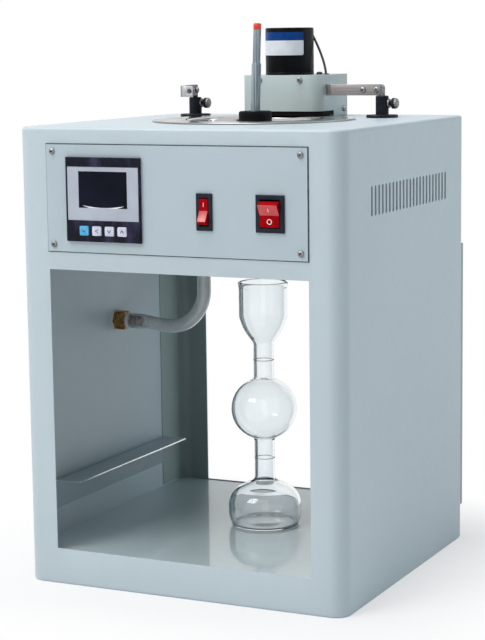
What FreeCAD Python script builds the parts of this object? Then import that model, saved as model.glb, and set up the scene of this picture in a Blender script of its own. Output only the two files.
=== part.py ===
import FreeCAD, Part
import math
import os

# Bench viscometer of the Engler type: a sheet-metal cabinet with an open chamber for the receiving flask,
# a heated bath above it, and a motor head that stirs the bath. Millimetres, +Z up, front towards -Y.
# The origin is the centre of the base plate's underside.

Vec = FreeCAD.Vector

# Cabinet
cabinet_width = 306.0
cabinet_depth = 298.0
cabinet_height = 402.0
sheet = 1.5
corner_radius = 14.0
base_thickness = 1.5
base_inset = 0.8
top_rim = 3.0
top_bend = 2.4
window_width = 245.0
window_sill = 30.4
window_height = 249.1
floor_height = 28.7
ceiling_rise = 2.0
ceiling_flange = 16.0
vent_count = 23
vent_pitch = 8.15
vent_width = 3.8
vent_height = 25.5
vent_centre_y = 2.8
vent_centre_height = 340.3
ledge_width = 27.0
ledge_drop = 27.0
ledge_length = 207.0
ledge_top_height = 80.3
ledge_bend = 3.0

# Fascia and what it carries
fascia_width = 245.0
fascia_height = 92.0
fascia_thickness = 1.2
fascia_centre_height = 341.6
fascia_cutout_margin = 12.0
screw_inset = 6.0
case_size = 72.0
case_proud = 3.0
case_body = 67.6
case_depth = 58.0
case_centre_x = -66.0
case_centre_drop = 0.5
case_corner = 1.0
face_width = 68.8
face_height = 45.6
face_top_margin = 8.1
face_thickness = 1.2
display_width = 47.0
display_height = 31.0
display_top_margin = 12.0
display_recess = 0.4
key_width = 9.0
key_height = 8.2
key_pitch = 12.3
key_top_margin = 58.5
key_proud = 0.8
key_length = 2.6
key_travel = 0.6
key_gap = 0.15
switch_height = 31.0
switch_proud = 2.0
switch_centre_drop = 8.3
power_switch_x = 89.5
power_switch_width = 25.5
power_window_width = 18.2
stirrer_switch_x = 29.4
stirrer_switch_width = 14.5
stirrer_window_width = 8.7
switch_window_height = 23.5
switch_body_inset = 1.3
switch_body_depth = 21.0
switch_wall = 1.2
rocker_side_gap = 0.25
rocker_half = 9.6
rocker_waist = 11.2
rocker_heel = 8.8
rocker_rise = 1.0
rocker_depth = 3.4
rocker_tilt = 15.0
rocker_crown = 4.0
rocker_pivot_depth = 3.5
rocker_pin_radius = 1.3
rocker_pin_reach = 0.9

# Bath on the top panel
bath_centre_y = 9.0
ring_radius = 92.0
ring_hole_radius = 61.5
ring_thickness = 1.5
ring_neck_depth = 9.0
steel_wall = 1.2
vessel_radius = 89.4
vessel_depth = 102.0
pot_inner_radius = 52.0
pot_depth = 74.0
pot_foot_radius = 4.0
pot_foot_circle = 40.0
lid_radius = 54.8
lid_thickness = 1.5
lid_lip = 6.0
stopper_x = 1.5
stopper_radius = 15.0
stopper_proud = 13.0
stopper_plug_radius = 10.5
stopper_plug_length = 12.0
outlet_radius = 5.0
outlet_bore_radius = 1.4
outlet_tip_height = 275.5
outlet_collar_radius = 9.0
outlet_collar_length = 5.0
heater_radius = 74.0
heater_tube = 4.0
heater_height = 20.0
heater_leg_spread = 13.0
heater_leg_reach = 12.0
probe_radius = 2.5
probe_height = 45.0
probe_inner = 64.0
probe_boss_radius = 6.0
probe_boss_length = 8.0

# Thermometer
thermometer_lean = 2.3
thermometer_top_height = 488.5
thermometer_tip_rise = 15.6
thermometer_cap_length = 5.8
thermometer_stem_radius = 3.5
thermometer_sleeve_radius = 4.3
thermometer_sleeve_share = 0.538
thermometer_bulb_radius = 2.8
thermometer_bulb_length = 12.0

# Drain
drain_y = 16.0
drain_height = 210.9
nut_across = 17.0
nut_thickness = 7.5
outer_hexagon_thickness = 5.0
fitting_thread_radius = 5.0
fitting_collar_radius = 6.3
fitting_collar_length = 6.4
barb_radius = 4.6
barb_length = 15.0
spigot_length = 18.0
hose_radius = 6.5
hose_bore_radius = 4.75
hose_sag = 3.1
hose_rise_inset = 96.2
hose_bend_radius = 36.0
hose_top_gap = 4.0
nipple_collar_radius = 7.0
nipple_length = 18.0

# Motor head
shroud_width = 81.0
shroud_front_y = 65.0
shroud_depth = 66.5
shroud_top_height = 441.2
shroud_front_low = 407.8
shroud_corner = 12.0
shroud_leg_y = 99.0
bracket_lip = 12.0
pad_front_y = 72.0
pad_back_y = 89.0
pad_inset = 3.0
motor_y = 89.0
motor_radius = 22.7
motor_length = 43.6
motor_edge = 1.0
motor_boss_radius = 9.0
motor_boss_length = 3.0
shaft_radius = 2.5
coupling_radius = 6.0
coupling_length = 20.0
coupling_drop = 6.0
motor_shaft_length = 15.0
stirrer_tip_height = 328.0
blade_hub_radius = 4.0
blade_radius = 7.0
blade_height = 10.0
blade_thickness = 1.2
blade_count = 4
shaft_hole_radius = 5.0
lead_radius = 1.1
lead_run = [(17.0, 12.2, 39.0), (24.6, 9.4, 26.9), (31.2, 6.1, 14.5), (35.0, 3.3, 4.7),
            (36.0, 2.5, -0.7), (36.1, 2.4, -5.2)]
grommet_radius = 2.8
grommet_proud = 1.4
grommet_neck = 1.0
shroud_screw_x = 20.5
shroud_screw_drop = 4.4
side_screw_inset = 9.5
side_screw_height = 6.7
bracket_tab = 16.0
bracket_tab_height = 14.0
head_lift = 14.0

# Pillars and arms
pillar_inset = 57.0
pillar_y = 81.0
pillar_radius = 6.0
pillar_height = 20.0
pillar_edge = 0.8
pillar_base_radius = 14.5
pillar_base_thickness = 2.6
rod_radius = 2.5
rod_depth = 16.5
tongue_thickness = 3.0
tongue_low_gap = 0.2
arm_band = 10.2
arm_thickness = 1.5
tongue_reach = 24.0
tongue_tail = 2.5
tongue_corner = 3.5
strip_tail = 2.0
foot_length = 12.2
arm_bend = 7.0
foot_hole_inset = 3.4
foot_hole_radius = 1.9
foot_spacer_radius = 3.0
arm_screw_near = 4.8
arm_screw_far = 17.7
arm_swing_at_rest = 79.0
thumb_height = 13.0
thumb_neck_radius = 1.9
thumb_disc_radius = 4.3
thumb_disc_length = 1.4
thumb_neck_length = 2.2
thumb_head_radius = 4.9
thumb_head_length = 4.2
thumb_dome = 1.6

# Receiving flask
flask_x = 8.0
flask_y = 7.0
glass = 1.6
flask_foot_radius = 29.0
flask_heel_radius = 30.6
flask_heel_height = 1.4
flask_low_bulb_radius = 33.8
flask_low_bulb_height = 14.5
flask_brow_radius = 25.9
flask_brow_height = 34.2
flask_throat_radius = 10.4
flask_throat_height = 42.0
flask_neck_radius = 9.4
flask_low_bulb_top = 44.8
flask_up_bulb_centre = 109.2
flask_up_bulb_radius = 30.2
flask_up_bulb_half = 27.1
flask_up_bulb_throat = 10.6
flask_up_bulb_blend = 3.5
flask_shoulder_low = 171.0
flask_shoulder_high = 195.0
flask_cup_radius = 22.2
flask_cup_flare = 17.6
flask_height = 226.8
flask_bead = 1.0
flask_bead_height = 2.6

# Mains inlet on the back
inlet_inset = 58.0
inlet_height = 345.0
inlet_flange_width = 50.0
inlet_flange_height = 24.0
inlet_flange_thickness = 3.0
inlet_body_width = 30.0
inlet_body_height = 22.0
inlet_body_depth = 22.0
inlet_socket_width = 25.0
inlet_socket_height = 17.0
inlet_socket_depth = 17.0
inlet_key_width = 19.0
inlet_pin_width = 2.0
inlet_pin_height = 4.0
inlet_pin_length = 13.0
inlet_pin_spacing = 7.0

# Screws
small_screw_radius = 1.5
small_head_radius = 2.8
small_head_height = 1.9

# Named clearances
slip_fit = 0.1
rest_gap = 0.2
running_fit = 0.06
hole_clear = 0.3

# Places worked out from the sizes above
shell_low = base_thickness
top_plane = shell_low + cabinet_height
rim_low = top_plane - top_rim
front_face = -cabinet_depth / 2
back_face = cabinet_depth / 2
inner_x = cabinet_width / 2 - sheet
inner_y = cabinet_depth / 2 - sheet
floor_top = shell_low + floor_height
window_low = shell_low + window_sill
window_high = window_low + window_height
ceiling_low = window_high + ceiling_rise
fascia_front = front_face - fascia_thickness
fascia_z = shell_low + fascia_centre_height
case_front = fascia_front - case_proud
case_z = fascia_z - case_centre_drop
switch_z = fascia_z - switch_centre_drop
ring_top = top_plane + ring_thickness
vessel_low = top_plane - vessel_depth
neck_low = ring_top - ring_neck_depth
pot_rim = neck_low + steel_wall
pot_low = pot_rim - pot_depth
lid_top = pot_rim + lid_thickness + rest_gap
drain_z = shell_low + drain_height
shroud_top = shell_low + shroud_top_height
pillar_top = top_plane + pillar_height
tongue_low = pillar_top + tongue_low_gap
pillar_x = cabinet_width / 2 - pillar_inset
inlet_x = cabinet_width / 2 - inlet_inset
arm_reach = pillar_x - shroud_width / 2
hose_rise_x = hose_rise_inset - cabinet_width / 2
thermometer_base = Vec(stopper_x, bath_centre_y, lid_top + stopper_proud)
thermometer_low = pot_low + steel_wall + thermometer_tip_rise
thermometer_length = shell_low + thermometer_top_height - thermometer_low


def block(x0, x1, y0, y1, z0, z1):
    return Part.makeBox(x1 - x0, y1 - y0, z1 - z0, Vec(x0, y0, z0))


def post(x, y, z0, z1, radius):
    return Part.makeCylinder(radius, z1 - z0, Vec(x, y, z0))


def bar_x(x0, x1, y, z, radius):
    return Part.makeCylinder(radius, x1 - x0, Vec(x0, y, z), Vec(1, 0, 0))


def bar_y(x, y0, y1, z, radius):
    return Part.makeCylinder(radius, y1 - y0, Vec(x, y0, z), Vec(0, 1, 0))


def upright_edges(shape):
    found = []
    for edge in shape.Edges:
        ends = edge.Vertexes
        if len(ends) == 2 and abs(ends[0].X - ends[1].X) < 1e-6 and abs(ends[0].Y - ends[1].Y) < 1e-6:
            found.append(edge)
    return found


def rounded_prism(width, depth, radius, z0, z1, y=0.0):
    plain = block(-width / 2, width / 2, y - depth / 2, y + depth / 2, z0, z1)
    return plain.makeFillet(radius, upright_edges(plain))


def lathe(points, x=0.0, y=0.0):
    """Revolves a closed outline of (radius, height) points about the upright line through x, y."""
    outline = Part.makePolygon([Vec(x + r, y, z) for r, z in points + points[:1]])
    return Part.Face(outline).revolve(Vec(x, y, 0), Vec(0, 0, 1), 360)


def pan_head(centre, direction, grip):
    """A screw with a rounded head seated at centre, its shank running grip deep behind the head."""
    head = Part.makeCylinder(small_head_radius, small_head_height)
    top = [e for e in head.Edges if all(abs(v.Z - small_head_height) < 1e-6 for v in e.Vertexes)]
    head = head.makeFillet(small_head_height * 0.6, top)
    screw = head.fuse(Part.makeCylinder(small_screw_radius, grip, Vec(0, 0, -grip)))
    screw.Placement = FreeCAD.Placement(centre, FreeCAD.Rotation(Vec(0, 0, 1), direction))
    return screw


def route(points, radii):
    """A wire of straight runs joined by tangent arcs, one radius for each inner point."""
    edges = []
    last = points[0]
    for before, corner, after, radius in zip(points, points[1:], points[2:], radii):
        towards = (corner - before).normalize()
        onwards = (after - corner).normalize()
        turn = towards.getAngle(onwards)
        cut = radius * math.tan(turn / 2)
        begin = corner - towards * cut
        end = corner + onwards * cut
        inward = (onwards - towards).normalize()
        middle = corner + inward * (radius / math.cos(turn / 2) - radius)
        edges.append(Part.LineSegment(last, begin).toShape())
        edges.append(Part.Arc(begin, middle, end).toShape())
        last = end
    edges.append(Part.LineSegment(last, points[-1]).toShape())
    return Part.Wire(edges)


def tube(points, radii, radius, bore=0.0):
    path = route(points, radii)
    direction = points[1] - points[0]
    outer = path.makePipe(Part.Face(Part.Wire(Part.makeCircle(radius, points[0], direction))))
    if bore == 0.0:
        return outer
    inner = path.makePipe(Part.Face(Part.Wire(Part.makeCircle(bore, points[0], direction))))
    return outer.cut(inner)


def open_radius(before, corner, after):
    """The largest tidy bend at a corner: 0.45 of its shorter run."""
    turn = (corner - before).getAngle(after - corner)
    shorter = min(before.distanceToPoint(corner), corner.distanceToPoint(after))
    return 0.45 * shorter / math.tan(turn / 2)


# Cabinet

def shell_ring(z0, z1):
    outside = rounded_prism(cabinet_width, cabinet_depth, corner_radius, z0, z1)
    inside = rounded_prism(2 * inner_x, 2 * inner_y, corner_radius - sheet, z0, z1)
    return outside.cut(inside)


def window_cut(y0, y1):
    return block(-window_width / 2, window_width / 2, y0, y1, window_low, window_high)


def front_frame():
    side = front_face + corner_radius
    keep = block(-cabinet_width, cabinet_width, -cabinet_depth, side, shell_low, rim_low)
    shape = shell_ring(shell_low, rim_low).common(keep)
    shape = shape.cut(window_cut(-cabinet_depth, side))
    half_w = fascia_width / 2 - fascia_cutout_margin
    half_h = case_body / 2 + case_centre_drop + hole_clear
    behind = block(-half_w, half_w, -cabinet_depth, side, fascia_z - half_h, fascia_z + half_h)
    shape = shape.cut(behind)
    for x, z in fascia_screw_places():
        shape = shape.cut(bar_y(x, -cabinet_depth, side, z, small_screw_radius + slip_fit))
    return shape


def rear_frame():
    side = back_face - corner_radius
    keep = block(-cabinet_width, cabinet_width, side, cabinet_depth, shell_low, rim_low)
    shape = shell_ring(shell_low, rim_low).common(keep)
    shape = shape.cut(window_cut(side, cabinet_depth))
    half_w = inlet_body_width / 2 + slip_fit
    half_h = inlet_body_height / 2 + slip_fit
    z = shell_low + inlet_height
    return shape.cut(block(inlet_x - half_w, inlet_x + half_w, side, cabinet_depth, z - half_h, z + half_h))


def vent_slot(y):
    low = shell_low + vent_centre_height - vent_height / 2 + vent_width / 2
    high = low + vent_height - vent_width
    half = vent_width / 2
    slot = block(-cabinet_width, cabinet_width, y - half, y + half, low, high)
    for z in (low, high):
        slot = slot.fuse(bar_x(-cabinet_width, cabinet_width, y, z, half))
    return slot


def side_panel(sign):
    half = cabinet_depth / 2 - corner_radius
    panel = block(inner_x, cabinet_width / 2, -half, half, shell_low, rim_low)
    if sign < 0:
        panel = block(-cabinet_width / 2, -inner_x, -half, half, shell_low, rim_low)
        panel = panel.cut(bar_x(-cabinet_width, 0, drain_y, drain_z, fitting_thread_radius + slip_fit))
    first = vent_centre_y - vent_pitch * (vent_count - 1) / 2
    slots = [vent_slot(first + vent_pitch * i) for i in range(vent_count)]
    return panel.cut(Part.makeCompound(slots))


def top_panel():
    outside = rounded_prism(cabinet_width, cabinet_depth, corner_radius, rim_low, top_plane)
    upper = [e for e in outside.Edges if all(abs(v.Z - top_plane) < 1e-6 for v in e.Vertexes)]
    outside = outside.makeFillet(top_bend, upper)
    hollow = rounded_prism(2 * inner_x, 2 * inner_y, corner_radius - sheet, rim_low, top_plane - sheet)
    panel = outside.cut(hollow)
    return panel.cut(post(0, bath_centre_y, rim_low, top_plane, vessel_radius + hole_clear))


def base_plate():
    width = cabinet_width - 2 * base_inset
    depth = cabinet_depth - 2 * base_inset
    return rounded_prism(width, depth, corner_radius - base_inset, 0, base_thickness)


def tray(z0, z1, opening_down):
    """A sheet folded down, or up, on all four sides, slipped inside the shell."""
    width = 2 * (inner_x - slip_fit)
    depth = 2 * (inner_y - slip_fit)
    radius = corner_radius - sheet - slip_fit
    outside = rounded_prism(width, depth, radius, z0, z1)
    low = z0 if opening_down else z0 + sheet
    high = z1 - sheet if opening_down else z1
    inside = rounded_prism(width - 2 * sheet, depth - 2 * sheet, radius - sheet, low, high)
    return outside.cut(inside)


def chamber_floor():
    return tray(shell_low, floor_top, True)


def chamber_ceiling():
    shape = tray(ceiling_low, ceiling_low + ceiling_flange, False)
    shape = shape.cut(post(0, bath_centre_y, 0, top_plane, outlet_collar_radius + hole_clear))
    return shape.cut(post(hose_rise_x, drain_y, 0, top_plane, hose_radius + hole_clear))


def side_ledge():
    x0 = -inner_x
    x1 = x0 + ledge_width
    z1 = shell_low + ledge_top_height
    z0 = z1 - ledge_drop
    low_y = -ledge_length / 2
    angle = block(x0, x1, low_y, -low_y, z0, z1)
    ridge = [e for e in angle.Edges if all(abs(v.X - x0) + abs(v.Z - z1) < 1e-6 for v in e.Vertexes)]
    angle = angle.makeFillet(ledge_bend, ridge)
    inner = block(x0 + sheet, x1, low_y, -low_y, z0, z1 - sheet)
    inner_ridge = [e for e in inner.Edges
                   if all(abs(v.X - x0 - sheet) + abs(v.Z - z1 + sheet) < 1e-6 for v in e.Vertexes)]
    return angle.cut(inner.makeFillet(ledge_bend - sheet, inner_ridge))


# Fascia, controller and switches

def fascia_screw_places():
    half_w = fascia_width / 2 - screw_inset
    half_h = fascia_height / 2 - screw_inset
    return [(x, fascia_z + z) for x in (-half_w, half_w) for z in (-half_h, half_h)]


def case_body_block(grow):
    half = case_body / 2 + grow
    x = case_centre_x
    return block(x - half, x + half, fascia_front, fascia_front + case_depth, case_z - half, case_z + half)


def switch_body_block(x, width, grow):
    half_w = width / 2 - switch_body_inset + grow
    half_h = switch_height / 2 - switch_body_inset + grow
    back = fascia_front + switch_body_depth
    return block(x - half_w, x + half_w, fascia_front, back, switch_z - half_h, switch_z + half_h)


def fascia_plate():
    half_w = fascia_width / 2
    half_h = fascia_height / 2
    plate = block(-half_w, half_w, fascia_front, front_face, fascia_z - half_h, fascia_z + half_h)
    plate = plate.cut(case_body_block(slip_fit))
    plate = plate.cut(switch_body_block(power_switch_x, power_switch_width, slip_fit))
    plate = plate.cut(switch_body_block(stirrer_switch_x, stirrer_switch_width, slip_fit))
    for x, z in fascia_screw_places():
        plate = plate.cut(bar_y(x, fascia_front, front_face, z, small_screw_radius + slip_fit))
    return plate


def fascia_screws():
    grip = fascia_thickness + 2 * sheet
    places = fascia_screw_places()
    return Part.makeCompound([pan_head(Vec(x, fascia_front, z), Vec(0, -1, 0), grip) for x, z in places])


def face_box(grow, y0, y1):
    top = case_z + case_size / 2 - face_top_margin
    half = face_width / 2 + grow
    x = case_centre_x
    return block(x - half, x + half, y0, y1, top - face_height - grow, top + grow)


def display_box(grow, y0, y1):
    top = case_z + case_size / 2 - display_top_margin
    half = display_width / 2 + grow
    x = case_centre_x
    return block(x - half, x + half, y0, y1, top - display_height - grow, top + grow)


def key_box(index, grow, y0, y1):
    x = case_centre_x + (index - 1.5) * key_pitch
    top = case_z + case_size / 2 - key_top_margin
    half = key_width / 2 + grow
    return block(x - half, x + half, y0, y1, top - key_height - grow, top + grow)


def controller_case():
    half = case_size / 2
    x = case_centre_x
    bezel = block(x - half, x + half, case_front, fascia_front, case_z - half, case_z + half)
    corners = [e for e in bezel.Edges if all(abs(abs(v.X - x) - half) < 1e-6 for v in e.Vertexes)
               and abs(e.Vertexes[0].Y - e.Vertexes[1].Y) > 1e-6]
    bezel = bezel.makeFillet(case_corner, corners)
    case = bezel.fuse(case_body_block(0)).removeSplitter()
    case = case.cut(face_box(slip_fit, case_front, case_front + face_thickness + display_recess))
    pocket = key_length + key_travel + rest_gap
    for index in range(4):
        case = case.cut(key_box(index, key_gap, case_front, case_front + pocket - key_proud))
    return case


def controller_face():
    plate = face_box(0, case_front + display_recess, case_front + display_recess + face_thickness)
    return plate.cut(display_box(slip_fit, case_front, case_front + case_depth))


def controller_display():
    front = case_front + 2 * display_recess
    return display_box(0, front, case_front + display_recess + face_thickness)


def key(index):
    front = case_front - key_proud
    cap = key_box(index, 0, front, front + key_length)
    edges = [e for e in cap.Edges if all(abs(v.Y - front) < 1e-6 for v in e.Vertexes)]
    return cap.makeFillet(key_proud / 2, edges)


def switch_body(x, width, window_width_here):
    front = fascia_front - switch_proud
    half = switch_height / 2
    bezel = block(x - width / 2, x + width / 2, front, fascia_front, switch_z - half, switch_z + half)
    edges = [e for e in bezel.Edges if all(abs(v.Y - front) < 1e-6 for v in e.Vertexes)]
    bezel = bezel.makeFillet(switch_proud / 4, edges)
    body = bezel.fuse(switch_body_block(x, width, 0))
    hw = window_width_here / 2
    hh = switch_window_height / 2
    back = fascia_front + switch_body_depth - switch_wall
    body = body.cut(block(x - hw, x + hw, front, back, switch_z - hh, switch_z + hh))
    pin = rocker_pin_radius + running_fit
    reach = hw + rocker_pin_reach
    return body.cut(bar_x(x - reach, x + reach, front + rocker_pivot_depth, switch_z, pin))


def rocker(x, window_width_here, tilt):
    """A rocker with two slanted halves and stub pins, tipped by tilt degrees about its pins."""
    half = window_width_here / 2 - rocker_side_gap
    pivot = Vec(x, fascia_front - switch_proud + rocker_pivot_depth, switch_z)
    tip = rocker_crown + rocker_half * math.tan(math.radians(rocker_tilt))
    upper = [(rocker_crown, 0), (tip, rocker_half), (rocker_rise, rocker_waist), (-rocker_depth, rocker_heel)]
    lower = [(-rocker_depth, -rocker_heel), (rocker_rise, -rocker_waist), (tip, -rocker_half)]
    outline = upper + lower
    corners = [pivot + Vec(-half, -forward, z) for forward, z in outline]
    face = Part.Face(Part.makePolygon(corners + corners[:1]))
    shape = face.extrude(Vec(2 * half, 0, 0))
    reach = window_width_here / 2 + rocker_pin_reach - slip_fit
    shape = shape.fuse(bar_x(x - reach, x + reach, pivot.y, switch_z, rocker_pin_radius))
    shape.rotate(pivot, Vec(1, 0, 0), tilt)
    return shape


# Bath

def bath_post(z0, z1, radius):
    return post(0, bath_centre_y, z0, z1, radius)


def bath_cover_ring():
    ring = bath_post(top_plane, ring_top, ring_radius).cut(bath_post(top_plane, ring_top, ring_hole_radius))
    inside = bath_post(neck_low, ring_top, ring_hole_radius - steel_wall)
    neck = bath_post(neck_low, ring_top, ring_hole_radius).cut(inside)
    ring = ring.fuse(neck).removeSplitter()
    return ring.cut(post(0, motor_y, top_plane, ring_top, shaft_hole_radius))


def bath_vessel():
    vessel = bath_post(vessel_low, top_plane, vessel_radius)
    vessel = vessel.cut(bath_post(vessel_low + steel_wall, top_plane, vessel_radius - steel_wall))
    vessel = vessel.cut(bath_post(vessel_low, top_plane, outlet_radius + slip_fit))
    vessel = vessel.cut(post(hose_rise_x, drain_y, vessel_low, top_plane, barb_radius + slip_fit))
    for x in (-heater_leg_spread, heater_leg_spread):
        vessel = vessel.cut(post(x, heater_leg_y(), 0, top_plane, heater_tube + slip_fit))
    return vessel.cut(bar_y(0, -cabinet_depth / 2, 0, vessel_low + probe_height, probe_radius + slip_fit))


def inner_pot():
    outer = pot_inner_radius + steel_wall
    flange_radius = ring_hole_radius - steel_wall - slip_fit
    pot = bath_post(pot_low, pot_rim, outer)
    pot = pot.fuse(bath_post(pot_rim - steel_wall, pot_rim, flange_radius))
    pot = pot.cut(bath_post(pot_low + steel_wall, pot_rim, pot_inner_radius))
    return pot.removeSplitter().cut(bath_post(0, top_plane, outlet_radius + slip_fit))


def pot_feet():
    """Three short posts welded to the vessel's bottom, on which the pot stands."""
    feet = []
    for turn in (30, 150, 270):
        x = pot_foot_circle * math.cos(math.radians(turn))
        y = bath_centre_y + pot_foot_circle * math.sin(math.radians(turn))
        feet.append(post(x, y, vessel_low + steel_wall, pot_low, pot_foot_radius))
    return feet


def outlet_tube():
    low = shell_low + outlet_tip_height
    collar_high = vessel_low
    high = pot_low + steel_wall
    shape = bath_post(low, high, outlet_radius)
    shape = shape.fuse(bath_post(collar_high - outlet_collar_length, collar_high, outlet_collar_radius))
    return shape.removeSplitter().cut(bath_post(low, high, outlet_bore_radius))


def heater_leg_y():
    return bath_centre_y - math.sqrt(heater_radius ** 2 - heater_leg_spread ** 2)


def heater_element():
    """A tube bent to an open ring, both ends turned down through the vessel's bottom."""
    z = vessel_low + heater_height
    y = heater_leg_y()
    half_gap = math.degrees(math.asin(heater_leg_spread / heater_radius))
    centre = Vec(0, bath_centre_y, z)
    upright = Vec(0, 0, 1)
    ring = Part.makeTorus(heater_radius, heater_tube, centre, upright, 0, 360, 360 - 2 * half_gap)
    ring.rotate(centre, upright, -90 + half_gap)
    shape = ring
    for x in (-heater_leg_spread, heater_leg_spread):
        shape = shape.fuse(Part.makeSphere(heater_tube, Vec(x, y, z)))
        shape = shape.fuse(post(x, y, vessel_low - heater_leg_reach, z, heater_tube))
    return shape


def temperature_probe():
    z = vessel_low + probe_height
    inner_end = bath_centre_y - probe_inner
    wall = bath_centre_y - vessel_radius
    shape = bar_y(0, wall - probe_boss_length, inner_end, z, probe_radius)
    return shape.fuse(bar_y(0, wall - probe_boss_length, wall - slip_fit, z, probe_boss_radius))


def pot_lid():
    low = pot_rim + rest_gap
    lip_radius = pot_inner_radius - hole_clear
    lid = bath_post(low, lid_top, lid_radius)
    lid = lid.fuse(bath_post(low - lid_lip, low, lip_radius))
    lid = lid.cut(bath_post(low - lid_lip, low, lip_radius - steel_wall))
    hole = post(stopper_x, bath_centre_y, 0, 2 * top_plane, stopper_plug_radius + slip_fit)
    return lid.removeSplitter().cut(hole)


def lean(shape):
    shape.rotate(thermometer_base, Vec(0, 1, 0), thermometer_lean)
    return shape


def lid_stopper():
    top = lid_top + stopper_proud
    r = stopper_radius
    edge = stopper_radius * 0.1
    plug_low = lid_top - stopper_plug_length
    outline = [(0, plug_low), (stopper_plug_radius, plug_low), (stopper_plug_radius, lid_top), (r, lid_top),
               (r, top - edge), (r - edge, top), (0, top)]
    shape = lathe(outline, stopper_x, bath_centre_y)
    low = plug_low - thermometer_length
    bore_radius = thermometer_sleeve_radius + running_fit
    bore = post(stopper_x, bath_centre_y, low, top + thermometer_length, bore_radius)
    return shape.cut(lean(bore))


def thermometer_glass():
    low = thermometer_low
    top = low + thermometer_length - thermometer_cap_length
    exposed = low + thermometer_length - thermometer_base.z
    sleeve_top = thermometer_base.z + exposed * thermometer_sleeve_share
    bulb = thermometer_bulb_radius
    stem = thermometer_stem_radius
    sleeve = thermometer_sleeve_radius
    taper = sleeve - stem
    bulb_top = low + thermometer_bulb_length
    outline = [(0, low), (bulb * 0.7, low), (bulb, low + bulb), (bulb, bulb_top), (sleeve, bulb_top + sleeve),
               (sleeve, sleeve_top), (stem, sleeve_top + taper), (stem, top), (0, top)]
    return lean(lathe(outline, stopper_x, bath_centre_y))


def thermometer_cap():
    low = thermometer_low + thermometer_length - thermometer_cap_length
    high = low + thermometer_cap_length
    r = thermometer_stem_radius + slip_fit
    edge = r * 0.3
    outline = [(0, low), (r, low), (r, high - edge), (r - edge, high), (0, high)]
    return lean(lathe(outline, stopper_x, bath_centre_y))


# Drain

def hexagon(x0, x1, y, z, across):
    corner = across / math.sqrt(3)
    turns = [math.radians(30 + 60 * i) for i in range(7)]
    outline = Part.makePolygon([Vec(x0, y + corner * math.cos(t), z + corner * math.sin(t)) for t in turns])
    return Part.Face(outline).extrude(Vec(x1 - x0, 0, 0))


def drain_fitting():
    """Turned brass: outside spigot and hexagon, thread through the wall, collar and barb inside."""
    outer_wall = -cabinet_width / 2
    nut_end = -inner_x + nut_thickness
    collar_end = nut_end + fitting_collar_length
    hex_end = outer_wall - outer_hexagon_thickness
    shape = hexagon(hex_end, outer_wall, drain_y, drain_z, nut_across)
    shape = shape.fuse(bar_x(hex_end - spigot_length, outer_wall, drain_y, drain_z, barb_radius))
    shape = shape.fuse(bar_x(outer_wall, nut_end, drain_y, drain_z, fitting_thread_radius))
    shape = shape.fuse(bar_x(nut_end, collar_end, drain_y, drain_z, fitting_collar_radius))
    shape = shape.fuse(bar_x(collar_end, collar_end + barb_length, drain_y, drain_z, barb_radius))
    bore = barb_radius / 2
    return shape.removeSplitter().cut(bar_x(-cabinet_width, 0, drain_y, drain_z, bore))


def drain_nut():
    nut = hexagon(-inner_x, -inner_x + nut_thickness, drain_y, drain_z, nut_across)
    return nut.cut(bar_x(-cabinet_width, 0, drain_y, drain_z, fitting_thread_radius + slip_fit))


def drain_hose():
    start = -inner_x + nut_thickness + fitting_collar_length + slip_fit
    bend_z = drain_z - hose_sag
    points = [
        Vec(start, drain_y, drain_z),
        Vec(start + barb_length, drain_y, drain_z),
        Vec((start + barb_length + hose_rise_x - hose_bend_radius) / 2, drain_y, bend_z),
        Vec(hose_rise_x, drain_y, bend_z),
        Vec(hose_rise_x, drain_y, vessel_low - hose_top_gap),
    ]
    gentle = [open_radius(points[i - 1], points[i], points[i + 1]) / 3 for i in (1, 2)]
    return tube(points, gentle + [hose_bend_radius], hose_radius, hose_bore_radius)


def drain_nipple():
    x = hose_rise_x
    low = vessel_low - nipple_length
    shape = post(x, drain_y, low, vessel_low + 2 * steel_wall, barb_radius)
    collar_low = vessel_low - hose_top_gap + slip_fit
    shape = shape.fuse(post(x, drain_y, collar_low, vessel_low, nipple_collar_radius))
    return shape.removeSplitter().cut(post(x, drain_y, 0, top_plane, barb_radius / 2))


# Motor head

def shroud_outline(inset, z0, z1):
    """The U-shaped plan of the shroud, inset from its outside, open at the back."""
    half = shroud_width / 2 - inset
    y0 = shroud_front_y + inset
    y1 = shroud_front_y + shroud_depth
    plan = block(-half, half, y0, y1, z0, z1)
    front = [e for e in upright_edges(plan) if abs(e.Vertexes[0].Y - y0) < 1e-6]
    return plan.makeFillet(shroud_corner - inset, front)


def shroud_screw_places():
    z = shroud_top - shroud_screw_drop
    return [(-shroud_screw_x, z), (shroud_screw_x, z)]


def side_screw_place():
    y = shroud_front_y + shroud_depth - side_screw_inset
    return y, top_plane + side_screw_height


def motor_shroud():
    low = top_plane + rest_gap
    front_low = shell_low + shroud_front_low
    shape = shroud_outline(0, low, shroud_top).cut(shroud_outline(sheet, low, shroud_top))
    under = block(-shroud_width, shroud_width, 0, shroud_leg_y, low, front_low)
    shape = shape.cut(under)
    for x, z in shroud_screw_places():
        shape = shape.cut(bar_y(x, 0, motor_y, z, small_screw_radius + slip_fit))
    shape = shape.cut(bar_x(0, shroud_width, foot_hole_y(), arm_z(), small_screw_radius + slip_fit))
    y, z = side_screw_place()
    return shape.cut(bar_x(-shroud_width, shroud_width, y, z, small_screw_radius + slip_fit))


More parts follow.
